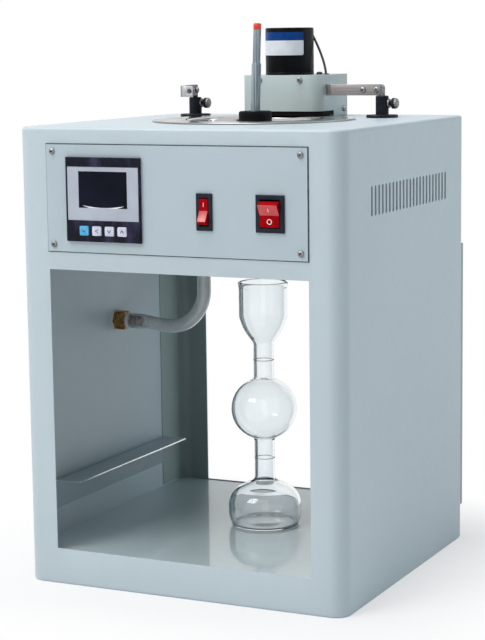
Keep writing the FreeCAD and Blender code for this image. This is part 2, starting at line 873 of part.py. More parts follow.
def motor_bracket():
    """Folded sheet inside the shroud: top, back down to the cabinet, and a lip behind the front."""
    inset = sheet + slip_fit
    back = shroud_front_y + shroud_depth
    low = top_plane + rest_gap
    block_shape = shroud_outline(inset, low, shroud_top)
    front_inside = shroud_front_y + inset + sheet
    lip_low = shroud_top - bracket_lip
    hollow = block(-shroud_width, shroud_width, 0, back - sheet, low, lip_low)
    shape = block_shape.cut(hollow)
    under = block(-shroud_width, shroud_width, front_inside, back - sheet, low, shroud_top - sheet)
    shape = shape.cut(under)
    inner = shroud_width / 2 - shroud_corner
    for sign in (-1, 1):
        x0, x1 = sorted((sign * inner, sign * shroud_width))
        shape = shape.cut(block(x0, x1, 0, front_inside + shroud_corner, low, shroud_top - sheet))
    tab_x = shroud_width / 2 - inset
    y, z = side_screw_place()
    for sign in (-1, 1):
        x0, x1 = sorted((sign * tab_x, sign * (tab_x - sheet)))
        shape = shape.fuse(block(x0, x1, back - bracket_tab, back, low, low + bracket_tab_height))
    shape = shape.removeSplitter()
    shape = shape.cut(bar_x(-shroud_width, shroud_width, y, z, small_screw_radius + slip_fit))
    shape = shape.cut(post(0, motor_y, low, shroud_top, motor_boss_radius + slip_fit))
    lead = lead_points()[-2]
    shape = shape.cut(post(lead.x, lead.y, low, shroud_top, grommet_radius - grommet_neck))
    for x, z in shroud_screw_places():
        shape = shape.cut(bar_y(x, 0, motor_y, z, small_screw_radius + slip_fit))
    return shape


def shroud_screws():
    grip = 2.5 * sheet
    screws = [pan_head(Vec(x, shroud_front_y, z), Vec(0, -1, 0), grip) for x, z in shroud_screw_places()]
    y, z = side_screw_place()
    for sign in (-1, 1):
        screws.append(pan_head(Vec(sign * shroud_width / 2, y, z), Vec(sign, 0, 0), grip))
    return Part.makeCompound(screws)


def shroud_pad():
    half = shroud_width / 2 - pad_inset
    pad = block(-half, half, pad_front_y, pad_back_y, ring_top + rest_gap, shell_low + shroud_front_low)
    hole = post(0, motor_y, 0, shroud_top, shaft_hole_radius + hole_clear)
    return pad.cut(hole)


def motor():
    top = shroud_top + motor_length
    r = motor_radius
    e = motor_edge
    outline = [(0, shroud_top), (r, shroud_top), (r, top - e), (r - e, top), (0, top)]
    shape = lathe(outline, 0, motor_y)
    shape = shape.fuse(post(0, motor_y, shroud_top - motor_boss_length, shroud_top, motor_boss_radius))
    bore_top = shroud_top + motor_shaft_length / 2
    return shape.removeSplitter().cut(post(0, motor_y, 0, bore_top + rest_gap, shaft_radius + running_fit))


def lead_points():
    """The lead leaves the motor's side high up and curves down into the grommet in the bracket."""
    return [Vec(x, motor_y + y, shroud_top + z) for x, y, z in lead_run]


def motor_lead():
    points = lead_points()
    radii = [open_radius(points[i - 1], points[i], points[i + 1]) for i in range(1, len(points) - 1)]
    lead = tube(points, radii, lead_radius)
    body = post(0, motor_y, 0, 2 * shroud_top, motor_radius + slip_fit / 2)
    return lead.cut(body)


def lead_grommet():
    end = lead_points()[-2]
    low = shroud_top - sheet - grommet_proud
    high = shroud_top + grommet_proud
    outer = grommet_radius
    neck = grommet_radius - grommet_neck - slip_fit
    outline = [(0, low), (outer, low), (outer, shroud_top - sheet), (neck, shroud_top - sheet),
               (neck, shroud_top), (outer, shroud_top), (outer, high - grommet_neck / 2),
               (outer - grommet_neck / 2, high), (0, high)]
    shape = lathe(outline, end.x, end.y)
    points = lead_points()
    radii = [open_radius(points[i - 1], points[i], points[i + 1]) for i in range(1, len(points) - 1)]
    return shape.cut(tube(points, radii, lead_radius + slip_fit / 2))


def shaft_coupling():
    top = shroud_top - coupling_drop
    low = top - coupling_length
    shape = post(0, motor_y, low, top, coupling_radius)
    return shape.cut(post(0, motor_y, low, top, shaft_radius + slip_fit / 2))


def motor_shaft():
    low = shroud_top - coupling_drop - coupling_length / 2 + slip_fit
    return post(0, motor_y, low, shroud_top + motor_shaft_length / 2, shaft_radius)


def stirrer_shaft():
    high = shroud_top - coupling_drop - coupling_length / 2 - slip_fit
    return post(0, motor_y, shell_low + stirrer_tip_height, high, shaft_radius)


def stirrer_blades():
    low = shell_low + stirrer_tip_height
    high = low + blade_height
    hub = post(0, motor_y, low, high, blade_hub_radius)
    for i in range(blade_count):
        blade = block(0, blade_radius, -blade_thickness / 2, blade_thickness / 2, low, high)
        blade.rotate(Vec(0, 0, (low + high) / 2), Vec(1, 0, 0), 25)
        blade = blade.common(block(-1, 2 * blade_radius, -blade_radius, blade_radius, low, high))
        blade.rotate(Vec(0, 0, 0), Vec(0, 0, 1), 360 * i / blade_count)
        blade.translate(Vec(0, motor_y, 0))
        hub = hub.fuse(blade)
    hub = hub.common(post(0, motor_y, low, high, blade_radius))
    return hub.cut(post(0, motor_y, low, high, shaft_radius + slip_fit / 2))


# Pillars and arms

def arm_z():
    return tongue_low + arm_band / 2


def foot_hole_y():
    return pillar_y - tongue_thickness / 2 - arm_thickness - foot_length + foot_hole_inset


def pillar(sign):
    x = sign * pillar_x
    edge = pillar_edge
    r = pillar_radius
    base = top_plane + pillar_base_thickness
    outline = [(0, top_plane), (pillar_base_radius, top_plane), (pillar_base_radius, base), (r, base),
               (r, pillar_top - edge), (r - edge, pillar_top), (0, pillar_top)]
    shape = lathe(outline, x, pillar_y)
    bore_low = pillar_top - rod_depth - rest_gap
    shape = shape.cut(post(x, pillar_y, bore_low, pillar_top, rod_radius + running_fit))
    z = top_plane + thumb_height
    return shape.cut(bar_x(x, x + 2 * r, pillar_y, z, thumb_neck_radius + running_fit))


def thumb_screw(sign):
    """Chromed: tip against the rod, disc, neck and a domed head, turned about +X."""
    x = sign * pillar_x
    z = top_plane + thumb_height
    disc = x + pillar_radius + rest_gap
    neck = disc + thumb_disc_length
    head = neck + thumb_neck_length
    shape = bar_x(x + rod_radius + 2 * slip_fit, head, pillar_y, z, thumb_neck_radius)
    shape = shape.fuse(bar_x(disc, neck, pillar_y, z, thumb_disc_radius))
    end = head + thumb_head_length + thumb_dome
    knob = bar_x(head, end, pillar_y, z, thumb_head_radius)
    far = [e for e in knob.Edges if all(abs(v.X - end) < 1e-6 for v in e.Vertexes)]
    knob = knob.makeFillet(thumb_dome, far)
    return shape.fuse(knob).removeSplitter()


def place_arm(shape, sign):
    """Arms are built on the right pillar's axis at the origin, pointing -X; the left one is swung round."""
    if sign < 0:
        shape.rotate(Vec(0, 0, 0), Vec(0, 0, 1), 180 - arm_swing_at_rest)
    shape.translate(Vec(sign * pillar_x, pillar_y, 0))
    return shape


def arm_screw_hole(x, radius):
    return bar_y(-x, -tongue_thickness * 2, tongue_thickness * 2, arm_z(), radius)


def arm_bracket(sign):
    """The flat tongue with the rod that drops into the pillar."""
    half = tongue_thickness / 2
    high = tongue_low + arm_band
    tongue = block(-tongue_reach, tongue_tail, -half, half, tongue_low, high)
    corner = [e for e in tongue.Edges
              if all(abs(v.X - tongue_tail) < 1e-6 and abs(v.Z - high) < 1e-6 for v in e.Vertexes)]
    tongue = tongue.makeFillet(tongue_corner, corner)
    shape = tongue.fuse(post(0, 0, pillar_top - rod_depth, tongue_low, rod_radius))
    for x in (arm_screw_near, arm_screw_far):
        shape = shape.cut(arm_screw_hole(x, small_screw_radius + slip_fit))
    return place_arm(shape, sign)


def arm_strip(sign):
    """Flat steel strip with a foot bent forwards at its far end."""
    front = -tongue_thickness / 2 - arm_thickness
    back = -tongue_thickness / 2
    high = tongue_low + arm_band
    far = -arm_reach
    plan = block(far, -strip_tail, front - foot_length, back, tongue_low, high)
    heel = [e for e in upright_edges(plan) if abs(e.Vertexes[0].X - far) + abs(e.Vertexes[0].Y - back) < 1e-6]
    plan = plan.makeFillet(arm_bend, heel)
    inner = block(far + arm_thickness, 0, front - foot_length, front, tongue_low, high)
    inner_heel = [e for e in upright_edges(inner)
                  if abs(e.Vertexes[0].X - far - arm_thickness) + abs(e.Vertexes[0].Y - front) < 1e-6]
    strip = plan.cut(inner.makeFillet(arm_bend - arm_thickness, inner_heel))
    hole_y = front - foot_length + foot_hole_inset
    strip = strip.cut(bar_x(far - 1, far + 2 * arm_thickness, hole_y, arm_z(), foot_hole_radius))
    for x in (arm_screw_near, arm_screw_far):
        strip = strip.cut(arm_screw_hole(x, small_screw_radius + slip_fit))
    return place_arm(strip, sign)


def arm_screws(sign):
    front = -tongue_thickness / 2 - arm_thickness
    grip = arm_thickness + tongue_thickness
    screws = [pan_head(Vec(-x, front, arm_z()), Vec(0, -1, 0), grip) for x in (arm_screw_near, arm_screw_far)]
    if sign > 0:
        hole_y = front - foot_length + foot_hole_inset
        head = Vec(-arm_reach + arm_thickness, hole_y, arm_z())
        screws.append(pan_head(head, Vec(1, 0, 0), foot_grip()))
    return place_arm(Part.makeCompound(screws), sign)


def foot_grip():
    """From the foot's outer face through the spacer and the shroud's rounded corner."""
    past = shroud_front_y + shroud_corner - foot_hole_y()
    dip = shroud_corner - math.sqrt(shroud_corner ** 2 - past ** 2)
    return arm_thickness + dip + 2 * sheet


def foot_spacer():
    """A short sleeve that fills the room between the foot and the shroud's rounded corner."""
    side = shroud_width / 2
    y = foot_hole_y()
    sleeve = bar_x(side - shroud_corner, side, y, arm_z(), foot_spacer_radius)
    sleeve = sleeve.cut(bar_x(0, 2 * side, y, arm_z(), small_screw_radius + slip_fit))
    return sleeve.cut(shroud_outline(0, top_plane, shroud_top + sheet))


# Receiving flask

def flask_profile(inset):
    """Half outline of the flask's wall from the base centre to the rim, inset by the wall inside."""
    z0 = floor_top + rest_gap / 4
    neck = flask_neck_radius - inset
    cup = flask_cup_radius - inset

    def spot(radius, height, inward=1.0, down=0.0):
        return Vec(radius - inset * inward, 0, z0 + height - inset * down)

    heel_mid = (flask_heel_radius + flask_low_bulb_radius) / 2 + flask_bead
    heel_rise = (flask_heel_height + flask_low_bulb_height) / 2 - flask_heel_height / 2
    brow_mid = flask_brow_radius + 0.77 * (flask_low_bulb_radius - flask_brow_radius)
    brow_rise = flask_low_bulb_height + 0.61 * (flask_brow_height - flask_low_bulb_height)
    top_mid = (flask_brow_radius + flask_throat_radius) / 2
    top_rise = flask_throat_height - 0.46 * (flask_throat_height - flask_brow_height)
    centre = flask_up_bulb_centre
    half = flask_up_bulb_half
    blend = half + flask_up_bulb_blend
    flare_rise = flask_shoulder_low + 0.47 * (flask_shoulder_high - flask_shoulder_low)
    start = spot(0, 0, 0, -1)
    foot = spot(flask_foot_radius, 0, 1, -1)
    heel_low = spot((flask_foot_radius + flask_heel_radius) / 2 + 0.45, 0.45, 1, -1)
    heel = spot(flask_heel_radius, flask_heel_height, 1, -1)
    belly = spot(flask_low_bulb_radius, flask_low_bulb_height)
    brow = spot(flask_brow_radius, flask_brow_height, 0.62, 0.78)
    throat = spot(flask_throat_radius, flask_throat_height, 0.6, 0.8)
    neck_low = spot(flask_neck_radius, flask_low_bulb_top)
    bulb_low = spot(flask_up_bulb_throat, centre - half, 0.8, -0.4)
    bulb_high = spot(flask_up_bulb_throat, centre + half, 0.8, 0.4)
    cup_neck = spot(flask_neck_radius, flask_shoulder_low)
    cup_low = spot(flask_cup_radius, flask_shoulder_high)
    edges = [
        Part.LineSegment(start, foot).toShape(),
        Part.Arc(foot, heel_low, heel).toShape(),
        Part.Arc(heel, spot(heel_mid, heel_rise, 1, -0.4), belly).toShape(),
        Part.Arc(belly, spot(brow_mid, brow_rise, 0.87, 0.5), brow).toShape(),
        Part.Arc(brow, spot(top_mid, top_rise, 0.45, 0.89), throat).toShape(),
        Part.LineSegment(throat, neck_low).toShape(),
        Part.LineSegment(neck_low, Vec(neck, 0, z0 + centre - blend)).toShape(),
        Part.LineSegment(Vec(neck, 0, z0 + centre - blend), bulb_low).toShape(),
        Part.Arc(bulb_low, spot(flask_up_bulb_radius, centre), bulb_high).toShape(),
        Part.LineSegment(bulb_high, Vec(neck, 0, z0 + centre + blend)).toShape(),
        Part.LineSegment(Vec(neck, 0, z0 + centre + blend), cup_neck).toShape(),
        Part.Arc(cup_neck, spot(flask_cup_flare, flare_rise, 0.8, -0.5), cup_low).toShape(),
    ]
    rim = Vec(cup, 0, z0 + flask_height)
    if inset > 0:
        edges.append(Part.LineSegment(cup_low, rim).toShape())
        return edges, start, rim
    bead_low = Vec(cup, 0, rim.z - flask_bead_height)
    bead = Vec(cup + flask_bead, 0, rim.z - flask_bead_height / 2)
    edges.append(Part.LineSegment(cup_low, bead_low).toShape())
    edges.append(Part.Arc(bead_low, bead, rim).toShape())
    return edges, start, rim


def receiving_flask():
    outer, outer_start, outer_rim = flask_profile(0)
    inner, inner_start, inner_rim = flask_profile(glass)
    edges = outer + inner
    edges.append(Part.LineSegment(outer_start, inner_start).toShape())
    edges.append(Part.LineSegment(outer_rim, inner_rim).toShape())
    wire = Part.Wire(Part.__sortEdges__(edges))
    shape = Part.Face(wire).revolve(Vec(0, 0, 0), Vec(0, 0, 1), 360)
    shape.translate(Vec(flask_x, flask_y, 0))
    return shape


# Mains inlet

def mains_inlet():
    z = shell_low + inlet_height
    half_w = inlet_flange_width / 2
    half_h = inlet_flange_height / 2
    front = back_face + inlet_flange_thickness
    flange = block(inlet_x - half_w, inlet_x + half_w, back_face, front, z - half_h, z + half_h)
    ends = [e for e in flange.Edges if abs(e.Vertexes[0].Y - e.Vertexes[1].Y) > 1e-6]
    flange = flange.makeFillet(half_h / 2, ends)
    half_w = inlet_body_width / 2
    half_h = inlet_body_height / 2
    deep = front - inlet_flange_thickness - inlet_body_depth
    body = block(inlet_x - half_w, inlet_x + half_w, deep, back_face, z - half_h, z + half_h)
    shape = flange.fuse(body).removeSplitter()
    half_w = inlet_socket_width / 2
    half_h = inlet_socket_height / 2
    key_half = inlet_key_width / 2
    slant = half_w - key_half
    deep = front - inlet_socket_depth
    outline = [(-half_w, -half_h), (half_w, -half_h), (half_w, half_h - slant), (key_half, half_h),
               (-key_half, half_h), (-half_w, half_h - slant)]
    corners = [Vec(inlet_x + x, deep, z + height) for x, height in outline]
    socket = Part.Face(Part.makePolygon(corners + corners[:1])).extrude(Vec(0, inlet_socket_depth, 0))
    return shape.cut(socket)


def inlet_pins():
    z = shell_low + inlet_height
    deep = back_face + inlet_flange_thickness - inlet_socket_depth
    pins = []
    for x, height in ((-inlet_pin_spacing, -1.5), (0.0, 2.5), (inlet_pin_spacing, -1.5)):
        half_w = inlet_pin_width / 2
        half_h = inlet_pin_height / 2
        centre = inlet_x + x
        pin = block(centre - half_w, centre + half_w, deep, deep + inlet_pin_length,
                    z + height - half_h, z + height + half_h)
        pins.append(pin)
    return Part.makeCompound(pins)


nodes = {
    "base_plate": base_plate(),
    "front_frame": front_frame(),
    "rear_frame": rear_frame(),
    "left_side_panel": side_panel(-1),
    "right_side_panel": side_panel(1),
    "top_panel": top_panel(),
    "chamber_floor": chamber_floor(),
    "chamber_ceiling": chamber_ceiling(),
    "side_ledge": side_ledge(),
    "fascia_plate": fascia_plate(),
    "fascia_screws": fascia_screws(),
    "controller_case": controller_case(),
    "controller_face": controller_face(),
    "controller_display": controller_display(),
    "set_key": key(0),
    "shift_key": key(1),
    "down_key": key(2),
    "up_key": key(3),
    "power_switch_body": switch_body(power_switch_x, power_switch_width, power_window_width),
    "power_rocker": rocker(power_switch_x, power_window_width, rocker_tilt),
    "stirrer_switch_body": switch_body(stirrer_switch_x, stirrer_switch_width, stirrer_window_width),
    "stirrer_rocker": rocker(stirrer_switch_x, stirrer_window_width, -rocker_tilt),
    "bath_cover_ring": bath_cover_ring(),
    "bath_vessel": bath_vessel(),
    "inner_pot": inner_pot(),
    "pot_feet": Part.makeCompound(pot_feet()),
    "outlet_tube": outlet_tube(),
    "heater_element": heater_element(),
    "temperature_probe": temperature_probe(),
    "pot_lid": pot_lid(),
    "lid_stopper": lid_stopper(),
    "thermometer_glass": thermometer_glass(),
    "thermometer_cap": thermometer_cap(),
    "drain_fitting": drain_fitting(),
    "drain_nut": drain_nut(),
    "drain_hose": drain_hose(),
    "drain_nipple": drain_nipple(),
    "motor_shroud": motor_shroud(),
    "motor_bracket": motor_bracket(),
    "shroud_screws": shroud_screws(),
    "shroud_pad": shroud_pad(),
    "motor": motor(),
    "motor_lead": Part.makeCompound([motor_lead(), lead_grommet()]),
    "motor_shaft": motor_shaft(),
    "shaft_coupling": shaft_coupling(),
    "stirrer_shaft": stirrer_shaft(),
    "stirrer_blades": stirrer_blades(),
    "left_pillar": pillar(-1),
    "right_pillar": pillar(1),
    "left_thumb_screw": thumb_screw(-1),
    "right_thumb_screw": thumb_screw(1),
    "left_arm_bracket": arm_bracket(-1),
    "left_arm_strip": arm_strip(-1),
    "left_arm_screws": arm_screws(-1),
    "right_arm_bracket": arm_bracket(1),
    "right_arm_strip": arm_strip(1),
    "right_arm_screws": Part.makeCompound(arm_screws(1).Solids + [foot_spacer()]),
    "receiving_flask": receiving_flask(),
    "mains_inlet": mains_inlet(),
    "inlet_pins": inlet_pins(),
}

os.makedirs("parts", exist_ok=True)
for name, shape in nodes.items():
    box = shape.BoundBox
    print("%-20s %2d solids %10.1f mm3  x %.1f..%.1f y %.1f..%.1f z %.1f..%.1f %s" % (
        name, len(shape.Solids), shape.Volume, box.XMin, box.XMax, box.YMin, box.YMax, box.ZMin, box.ZMax,
        "" if shape.isValid() else "not valid"))
    shape.exportStep("parts/%s.step" % name)
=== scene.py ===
import math

import bmesh
import bpy
from mathutils import Matrix, Vector


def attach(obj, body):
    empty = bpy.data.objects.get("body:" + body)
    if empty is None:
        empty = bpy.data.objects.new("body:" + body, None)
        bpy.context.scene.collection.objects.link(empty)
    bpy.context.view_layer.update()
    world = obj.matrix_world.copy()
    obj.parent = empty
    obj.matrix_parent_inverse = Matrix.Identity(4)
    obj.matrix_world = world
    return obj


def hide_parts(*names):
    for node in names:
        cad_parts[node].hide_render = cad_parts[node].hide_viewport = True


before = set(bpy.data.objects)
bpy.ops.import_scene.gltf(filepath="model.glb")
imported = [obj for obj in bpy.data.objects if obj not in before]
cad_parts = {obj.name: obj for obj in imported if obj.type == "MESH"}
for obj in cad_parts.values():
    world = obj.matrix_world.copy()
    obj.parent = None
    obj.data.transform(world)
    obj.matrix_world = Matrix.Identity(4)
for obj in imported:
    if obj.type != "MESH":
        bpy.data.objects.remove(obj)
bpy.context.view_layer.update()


# Studio: the camera stands to the right of the cabinet's front and looks slightly down.
# A white floor runs to the horizon; wide soft lamps hang overhead and front left, and a weak one fills the right.
def place_object(name, data):
    """A new object in the scene, at the origin."""
    made = bpy.data.objects.new(name, data)
    bpy.context.scene.collection.objects.link(made)
    return made


def feed(node, *feeds):
    """Sets inputs of a node to values, or links them to other nodes' outputs."""
    for socket, value in feeds:
        if isinstance(value, bpy.types.NodeSocket):
            node.id_data.links.new(value, node.inputs[socket])
        else:
            node.inputs[socket].default_value = value
    return node


def add_node(tree, kind, *feeds, **settings):
    """A new shader node, with its settings made before its inputs are fed."""
    made = tree.nodes.new("ShaderNode" + kind)
    for setting, value in settings.items():
        setattr(made, setting, value)
    return feed(made, *feeds)


yaw, pitch, roll = math.radians(25.808), math.radians(8.393), math.radians(-0.737)
ahead = Vector((-math.sin(yaw) * math.cos(pitch), math.cos(yaw) * math.cos(pitch), -math.sin(pitch)))
level_right = Vector((math.cos(yaw), math.sin(yaw), 0))
level_up = level_right.cross(ahead)
camera_right = level_right * math.cos(roll) + level_up * math.sin(roll)
camera_up = level_up * math.cos(roll) - level_right * math.sin(roll)
camera_turn = Matrix((camera_right, camera_up, -ahead)).transposed().to_4x4()
focal_pixels, picture_pixels, sensor_mm = 1892.95, 640, 36
camera_data = bpy.data.cameras.new("camera")
camera_data.sensor_width = sensor_mm
camera_data.lens = focal_pixels * sensor_mm / picture_pixels
camera_data.clip_start = 0.05
camera_data.clip_end = 60
camera = place_object("camera", camera_data)
camera.matrix_world = Matrix.Translation((0.73748, -1.54505, 0.47483)) @ camera_turn
bpy.context.scene.camera = camera
bpy.context.scene.view_settings.view_transform = "Standard"

air = bpy.data.worlds.new("studio_air")
air.use_nodes = True
bpy.context.scene.world = air
sky = air.node_tree
soft_sky = feed(sky.nodes["Background"], ("Color", (0.9, 0.96, 1.0, 1)), ("Strength", 0.24))
white_sky = add_node(sky, "Background", ("Color", (1, 1, 1, 1)), ("Strength", 1.0))
rays = add_node(sky, "LightPath").outputs
through = add_node(sky, "Math", (0, rays["Is Glossy Ray"]), (1, rays["Is Transmission Ray"]), operation="MAXIMUM")
seen = add_node(sky, "Math", (0, rays["Is Camera Ray"]), (1, through.outputs[0]), operation="MAXIMUM", use_clamp=True)
sky_mix = add_node(sky, "MixShader", (0, seen.outputs[0]), (1, soft_sky.outputs[0]), (2, white_sky.outputs[0]))
feed(sky.nodes["World Output"], ("Surface", sky_mix.outputs[0]))

for lamp_name, place, aim, width, power, tint_colour in (
    ("overhead_lamp", (-0.5, -0.5, 2.7), (0, 0, 0.3), 2.0, 43.0, (1, 1, 1)),
    ("front_left_lamp", (-1.2, -2.1, 2.4), (0, 0, 0.2), 1.5, 42.0, (1, 1, 1)),
    ("right_lamp", (2.4, 1.2, 1.0), (0, 0, 0.2), 1.6, 13.0, (0.74, 0.92, 1.0)),
):
    lamp_data = bpy.data.lights.new(lamp_name, "AREA")
    lamp_data.size = width
    lamp_data.energy = power
    lamp_data.color = tint_colour
    lamp = place_object(lamp_name, lamp_data)
    lamp.location = place
    lamp.rotation_euler = (Vector(aim) - Vector(place)).to_track_quat("-Z", "Y").to_euler()

floor_form = bmesh.new()
bmesh.ops.create_grid(floor_form, x_segments=2, y_segments=2, size=30)
floor_mesh = bpy.data.meshes.new("studio_floor")
floor_form.to_mesh(floor_mesh)
floor_form.free()
floor = place_object("studio_floor", floor_mesh)
floor_paper = bpy.data.materials.new("studio_paper")
floor_paper.use_nodes = True
floor_mesh.materials.append(floor_paper)
paper = floor_paper.node_tree
shadow_half_size = (0.14, 0.136, 0)
near_paper = feed(paper.nodes["Principled BSDF"], ("Base Color", (0.86, 0.87, 0.88, 1)), ("Roughness", 0.9),
                  ("Specular IOR Level", 0.0))
far_paper = add_node(paper, "Emission", ("Strength", 1.0))
away = add_node(paper, "TexCoord").outputs["Object"]
for operation, value in (("ABSOLUTE", (0, 0, 0)), ("SUBTRACT", shadow_half_size), ("MAXIMUM", (0, 0, 0))):
    away = add_node(paper, "VectorMath", (0, away), (1, value), operation=operation).outputs[0]
reach = add_node(paper, "VectorMath", (0, away), operation="LENGTH").outputs["Value"]
fade = add_node(paper, "MapRange", ("Value", reach), ("From Max", 0.16), ("To Min", 0.5))
rays = add_node(paper, "LightPath").outputs
seen = add_node(paper, "Math", (0, 1.0), (1, rays["Is Diffuse Ray"]), operation="SUBTRACT")
share = add_node(paper, "Math", (0, fade.outputs[0]), (1, seen.outputs[0]), operation="MULTIPLY")
paper_mix = add_node(paper, "MixShader", (0, share.outputs[0]), (1, near_paper.outputs[0]), (2, far_paper.outputs[0]))
feed(paper.nodes["Material Output"], ("Surface", paper_mix.outputs[0]))


# Cabinet panels: cold-rolled sheet, powder-coated pale grey-green with a fine orange-peel skin.
# The flat panels, the tray-shaped chamber floor and ceiling and the base are carried over from the frame.
def shade(red, green, blue):
    """A colour as it is seen, 0 to 255, made linear for a shader."""
    shares = (value / 255 for value in (red, green, blue))
    return (*(part / 12.92 if part <= 0.04045 else ((part + 0.055) / 1.055) ** 2.4 for part in shares), 1)


def shader_of(material):
    return material.node_tree.nodes["Principled BSDF"]


def grain(material, cycles, detail=2.0, stretch=(1, 1, 1)):
    """A noise of so many cycles a metre, stretched along an axis where one factor is small."""
    tree = material.node_tree
    mapping = add_node(tree, "Mapping", ("Vector", tree.nodes["place"].outputs["Object"]), ("Scale", stretch))
    noise = add_node(tree, "TexNoise", ("Vector", mapping.outputs[0]), ("Scale", cycles), ("Detail", detail))
    return noise.outputs["Fac"]


def spread(material, value, low, high, start=0.35, end=0.65):
    """Maps a stretch of a value, by default the middle of a noise, onto a range."""
    ranged = add_node(material.node_tree, "MapRange", ("Value", value), ("From Min", start), ("From Max", end),
                      ("To Min", low), ("To Max", high))
    return ranged.outputs[0]


def wear(material, value, low, high):
    """Lets the roughness drift between two figures."""
    feed(shader_of(material), ("Roughness", spread(material, value, low, high)))


def relief(material, value, depth, strength=1.0):
    """Raises the surface by a noise, depth in metres."""
    bump = add_node(material.node_tree, "Bump", ("Strength", strength), ("Distance", depth), ("Height", value))
    feed(shader_of(material), ("Normal", bump.outputs[0]))


def tint(material, value, low, high, start=0.35, end=0.65):
    """Lets the colour drift between two shades."""
    ramp = add_node(material.node_tree, "ValToRGB", ("Fac", value))
    for stop, position, colour in zip(ramp.color_ramp.elements, (start, end), (low, high)):
        stop.position = position
        stop.color = colour
    middle = [(one + other) / 2 for one, other in zip(low, high)]
    feed(shader_of(material), ("Base Color", middle), ("Base Color", ramp.outputs["Color"]))


def bare_finish(name, rough, metallic=0.0):
    """A new material whose patterns will follow the piece's own place."""
    material = bpy.data.materials.new(name)
    material.use_nodes = True
    add_node(material.node_tree, "TexCoord").name = "place"
    feed(shader_of(material), ("Roughness", rough), ("Metallic", metallic))
    return material


def finish(name, low, high, rough, cycles, detail=2.0, metallic=0.0, stretch=(1, 1, 1), band=(0.35, 0.65)):
    """A new material whose colour drifts between two shades, over so many cycles a metre."""
    material = bare_finish(name, rough, metallic)
    tint(material, grain(material, cycles, detail, stretch), low, high, *band)
    return material


def powder_coat(name, colour, drift):
    """Baked powder whose colour drifts by a small share to either side."""
    deeper, paler = ((*(min(1, part * share) for part in colour[:3]), 1) for share in (1 - drift, 1 + drift))
    coat = finish(name, deeper, paler, 0.42, 9, 3)
    wear(coat, grain(coat, 160), 0.38, 0.47)
    relief(coat, grain(coat, 900, 1), 0.00006, 0.5)
    return coat


def dress(material, *nodes):
    """Gives carried-over nodes of the frame a finish."""
    for node in nodes:
        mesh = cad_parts[node].data
        mesh.materials.clear()
        mesh.materials.append(material)


sheet_paint = powder_coat("cabinet_powder_coat", shade(190, 203, 210), 0.015)
dress(sheet_paint, "left_side_panel", "right_side_panel", "base_plate")
# A darker copy of the cabinet's coat, used as painted shade inside the chamber: on the chamber ceiling and on the
# rear frame's inside faces.
painted_shade_inner_coat = powder_coat("inner_painted_shade_coat", shade(128, 141, 142), 0.03)
dress(painted_shade_inner_coat, "chamber_ceiling")
floor_paint = powder_coat("chamber_floor_enamel", shade(187, 203, 206), 0.01)
feed(shader_of(floor_paint), ("Coat Weight", 0.8), ("Coat Roughness", 0.07))
dress(floor_paint, "chamber_floor")


# Front and rear frames: one coated sheet each, folded round the upright corners at 14 mm radius.
# The big window is punched out before folding; at the rear a strip laps each side panel from inside.
def settle(bm, name, body, *materials, sharp=38):
    """Turns a form modelled in millimetres into a piece in metres that rides on a body of the frame."""
    bmesh.ops.remove_doubles(bm, verts=bm.verts, dist=0.0005)
    bmesh.ops.recalc_face_normals(bm, faces=bm.faces)
    bmesh.ops.scale(bm, vec=(0.001, 0.001, 0.001), verts=bm.verts)
    mesh = bpy.data.meshes.new(name)
    bm.to_mesh(mesh)
    bm.free()
    for material in materials:
        mesh.materials.append(material)
    mesh.shade_smooth()
    mesh.set_sharp_from_angle(angle=math.radians(sharp))
    piece = place_object(name, mesh)
    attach(piece, body)
    return piece


def line_of(bm, points, closed=False):
    """Edges from point to point, and back to the first one if the line is closed."""
    verts = [bm.verts.new(point) for point in points]
    following = verts[1:] + verts[:1] if closed else verts[1:]
    return [bm.edges.new(pair) for pair in zip(verts, following)]


def block(bm, centre, size):
    bmesh.ops.create_cube(bm, size=1, matrix=Matrix.Translation(centre) @ Matrix.Diagonal((*size, 1)))


def pull(bm, edges, step):
    """Draws edges out into a sheet, and gives the sheet's far edges."""
    drawn = bmesh.ops.extrude_edge_only(bm, edges=edges)["geom"]
    far = [part for part in drawn if isinstance(part, bmesh.types.BMVert)]
    bmesh.ops.translate(bm, vec=step, verts=far)
    return [part for part in drawn if isinstance(part, bmesh.types.BMEdge) and all(v in far for v in part.verts)]


def cut_plane(bm, place, normal):
    everything = bm.verts[:] + bm.edges[:] + bm.faces[:]
    bmesh.ops.bisect_plane(bm, geom=everything, dist=0.0001, plane_co=place, plane_no=normal)


def punch(bm, low_x, high_x, low_z, high_z, near_y, far_y):
    """Cuts a rectangular opening in the part of a sheet between two planes across Y."""
    for x in (low_x, high_x):
        cut_plane(bm, (x, 0, 0), (1, 0, 0))
    for z in (low_z, high_z):
        cut_plane(bm, (0, 0, z), (0, 0, 1))
    inside = []
    for face in bm.faces:
        middle = face.calc_center_median()
        if low_x < middle.x < high_x and low_z < middle.z < high_z and near_y < middle.y < far_y:
            inside.append(face)
    bmesh.ops.delete(bm, geom=inside, context="FACES")


def upright(edge):
    return abs(edge.verts[0].co.z - edge.verts[1].co.z) > 1


def rims_of(bm, angle=1.2):
    """Edges where the surface turns by more than an angle, in radians."""
    return [e for e in bm.edges if e.calc_face_angle(0) > angle]


def soften(bm, edges, size, steps):
    """Rounds edges with a bevel."""
    bmesh.ops.bevel(bm, geom=edges, offset=size, offset_type="OFFSET", segments=steps, profile=0.5,
                    affect="EDGES", material=-1)


def thicken(bm, wall, facing):
    """Gives a sheet its wall inwards; facing says how far a face looks out once the normals agree."""
    bmesh.ops.recalc_face_normals(bm, faces=bm.faces)
    outward = sum(facing(face) for face in bm.faces)
    bmesh.ops.solidify(bm, geom=bm.faces[:], thickness=wall if outward > 0 else -wall)


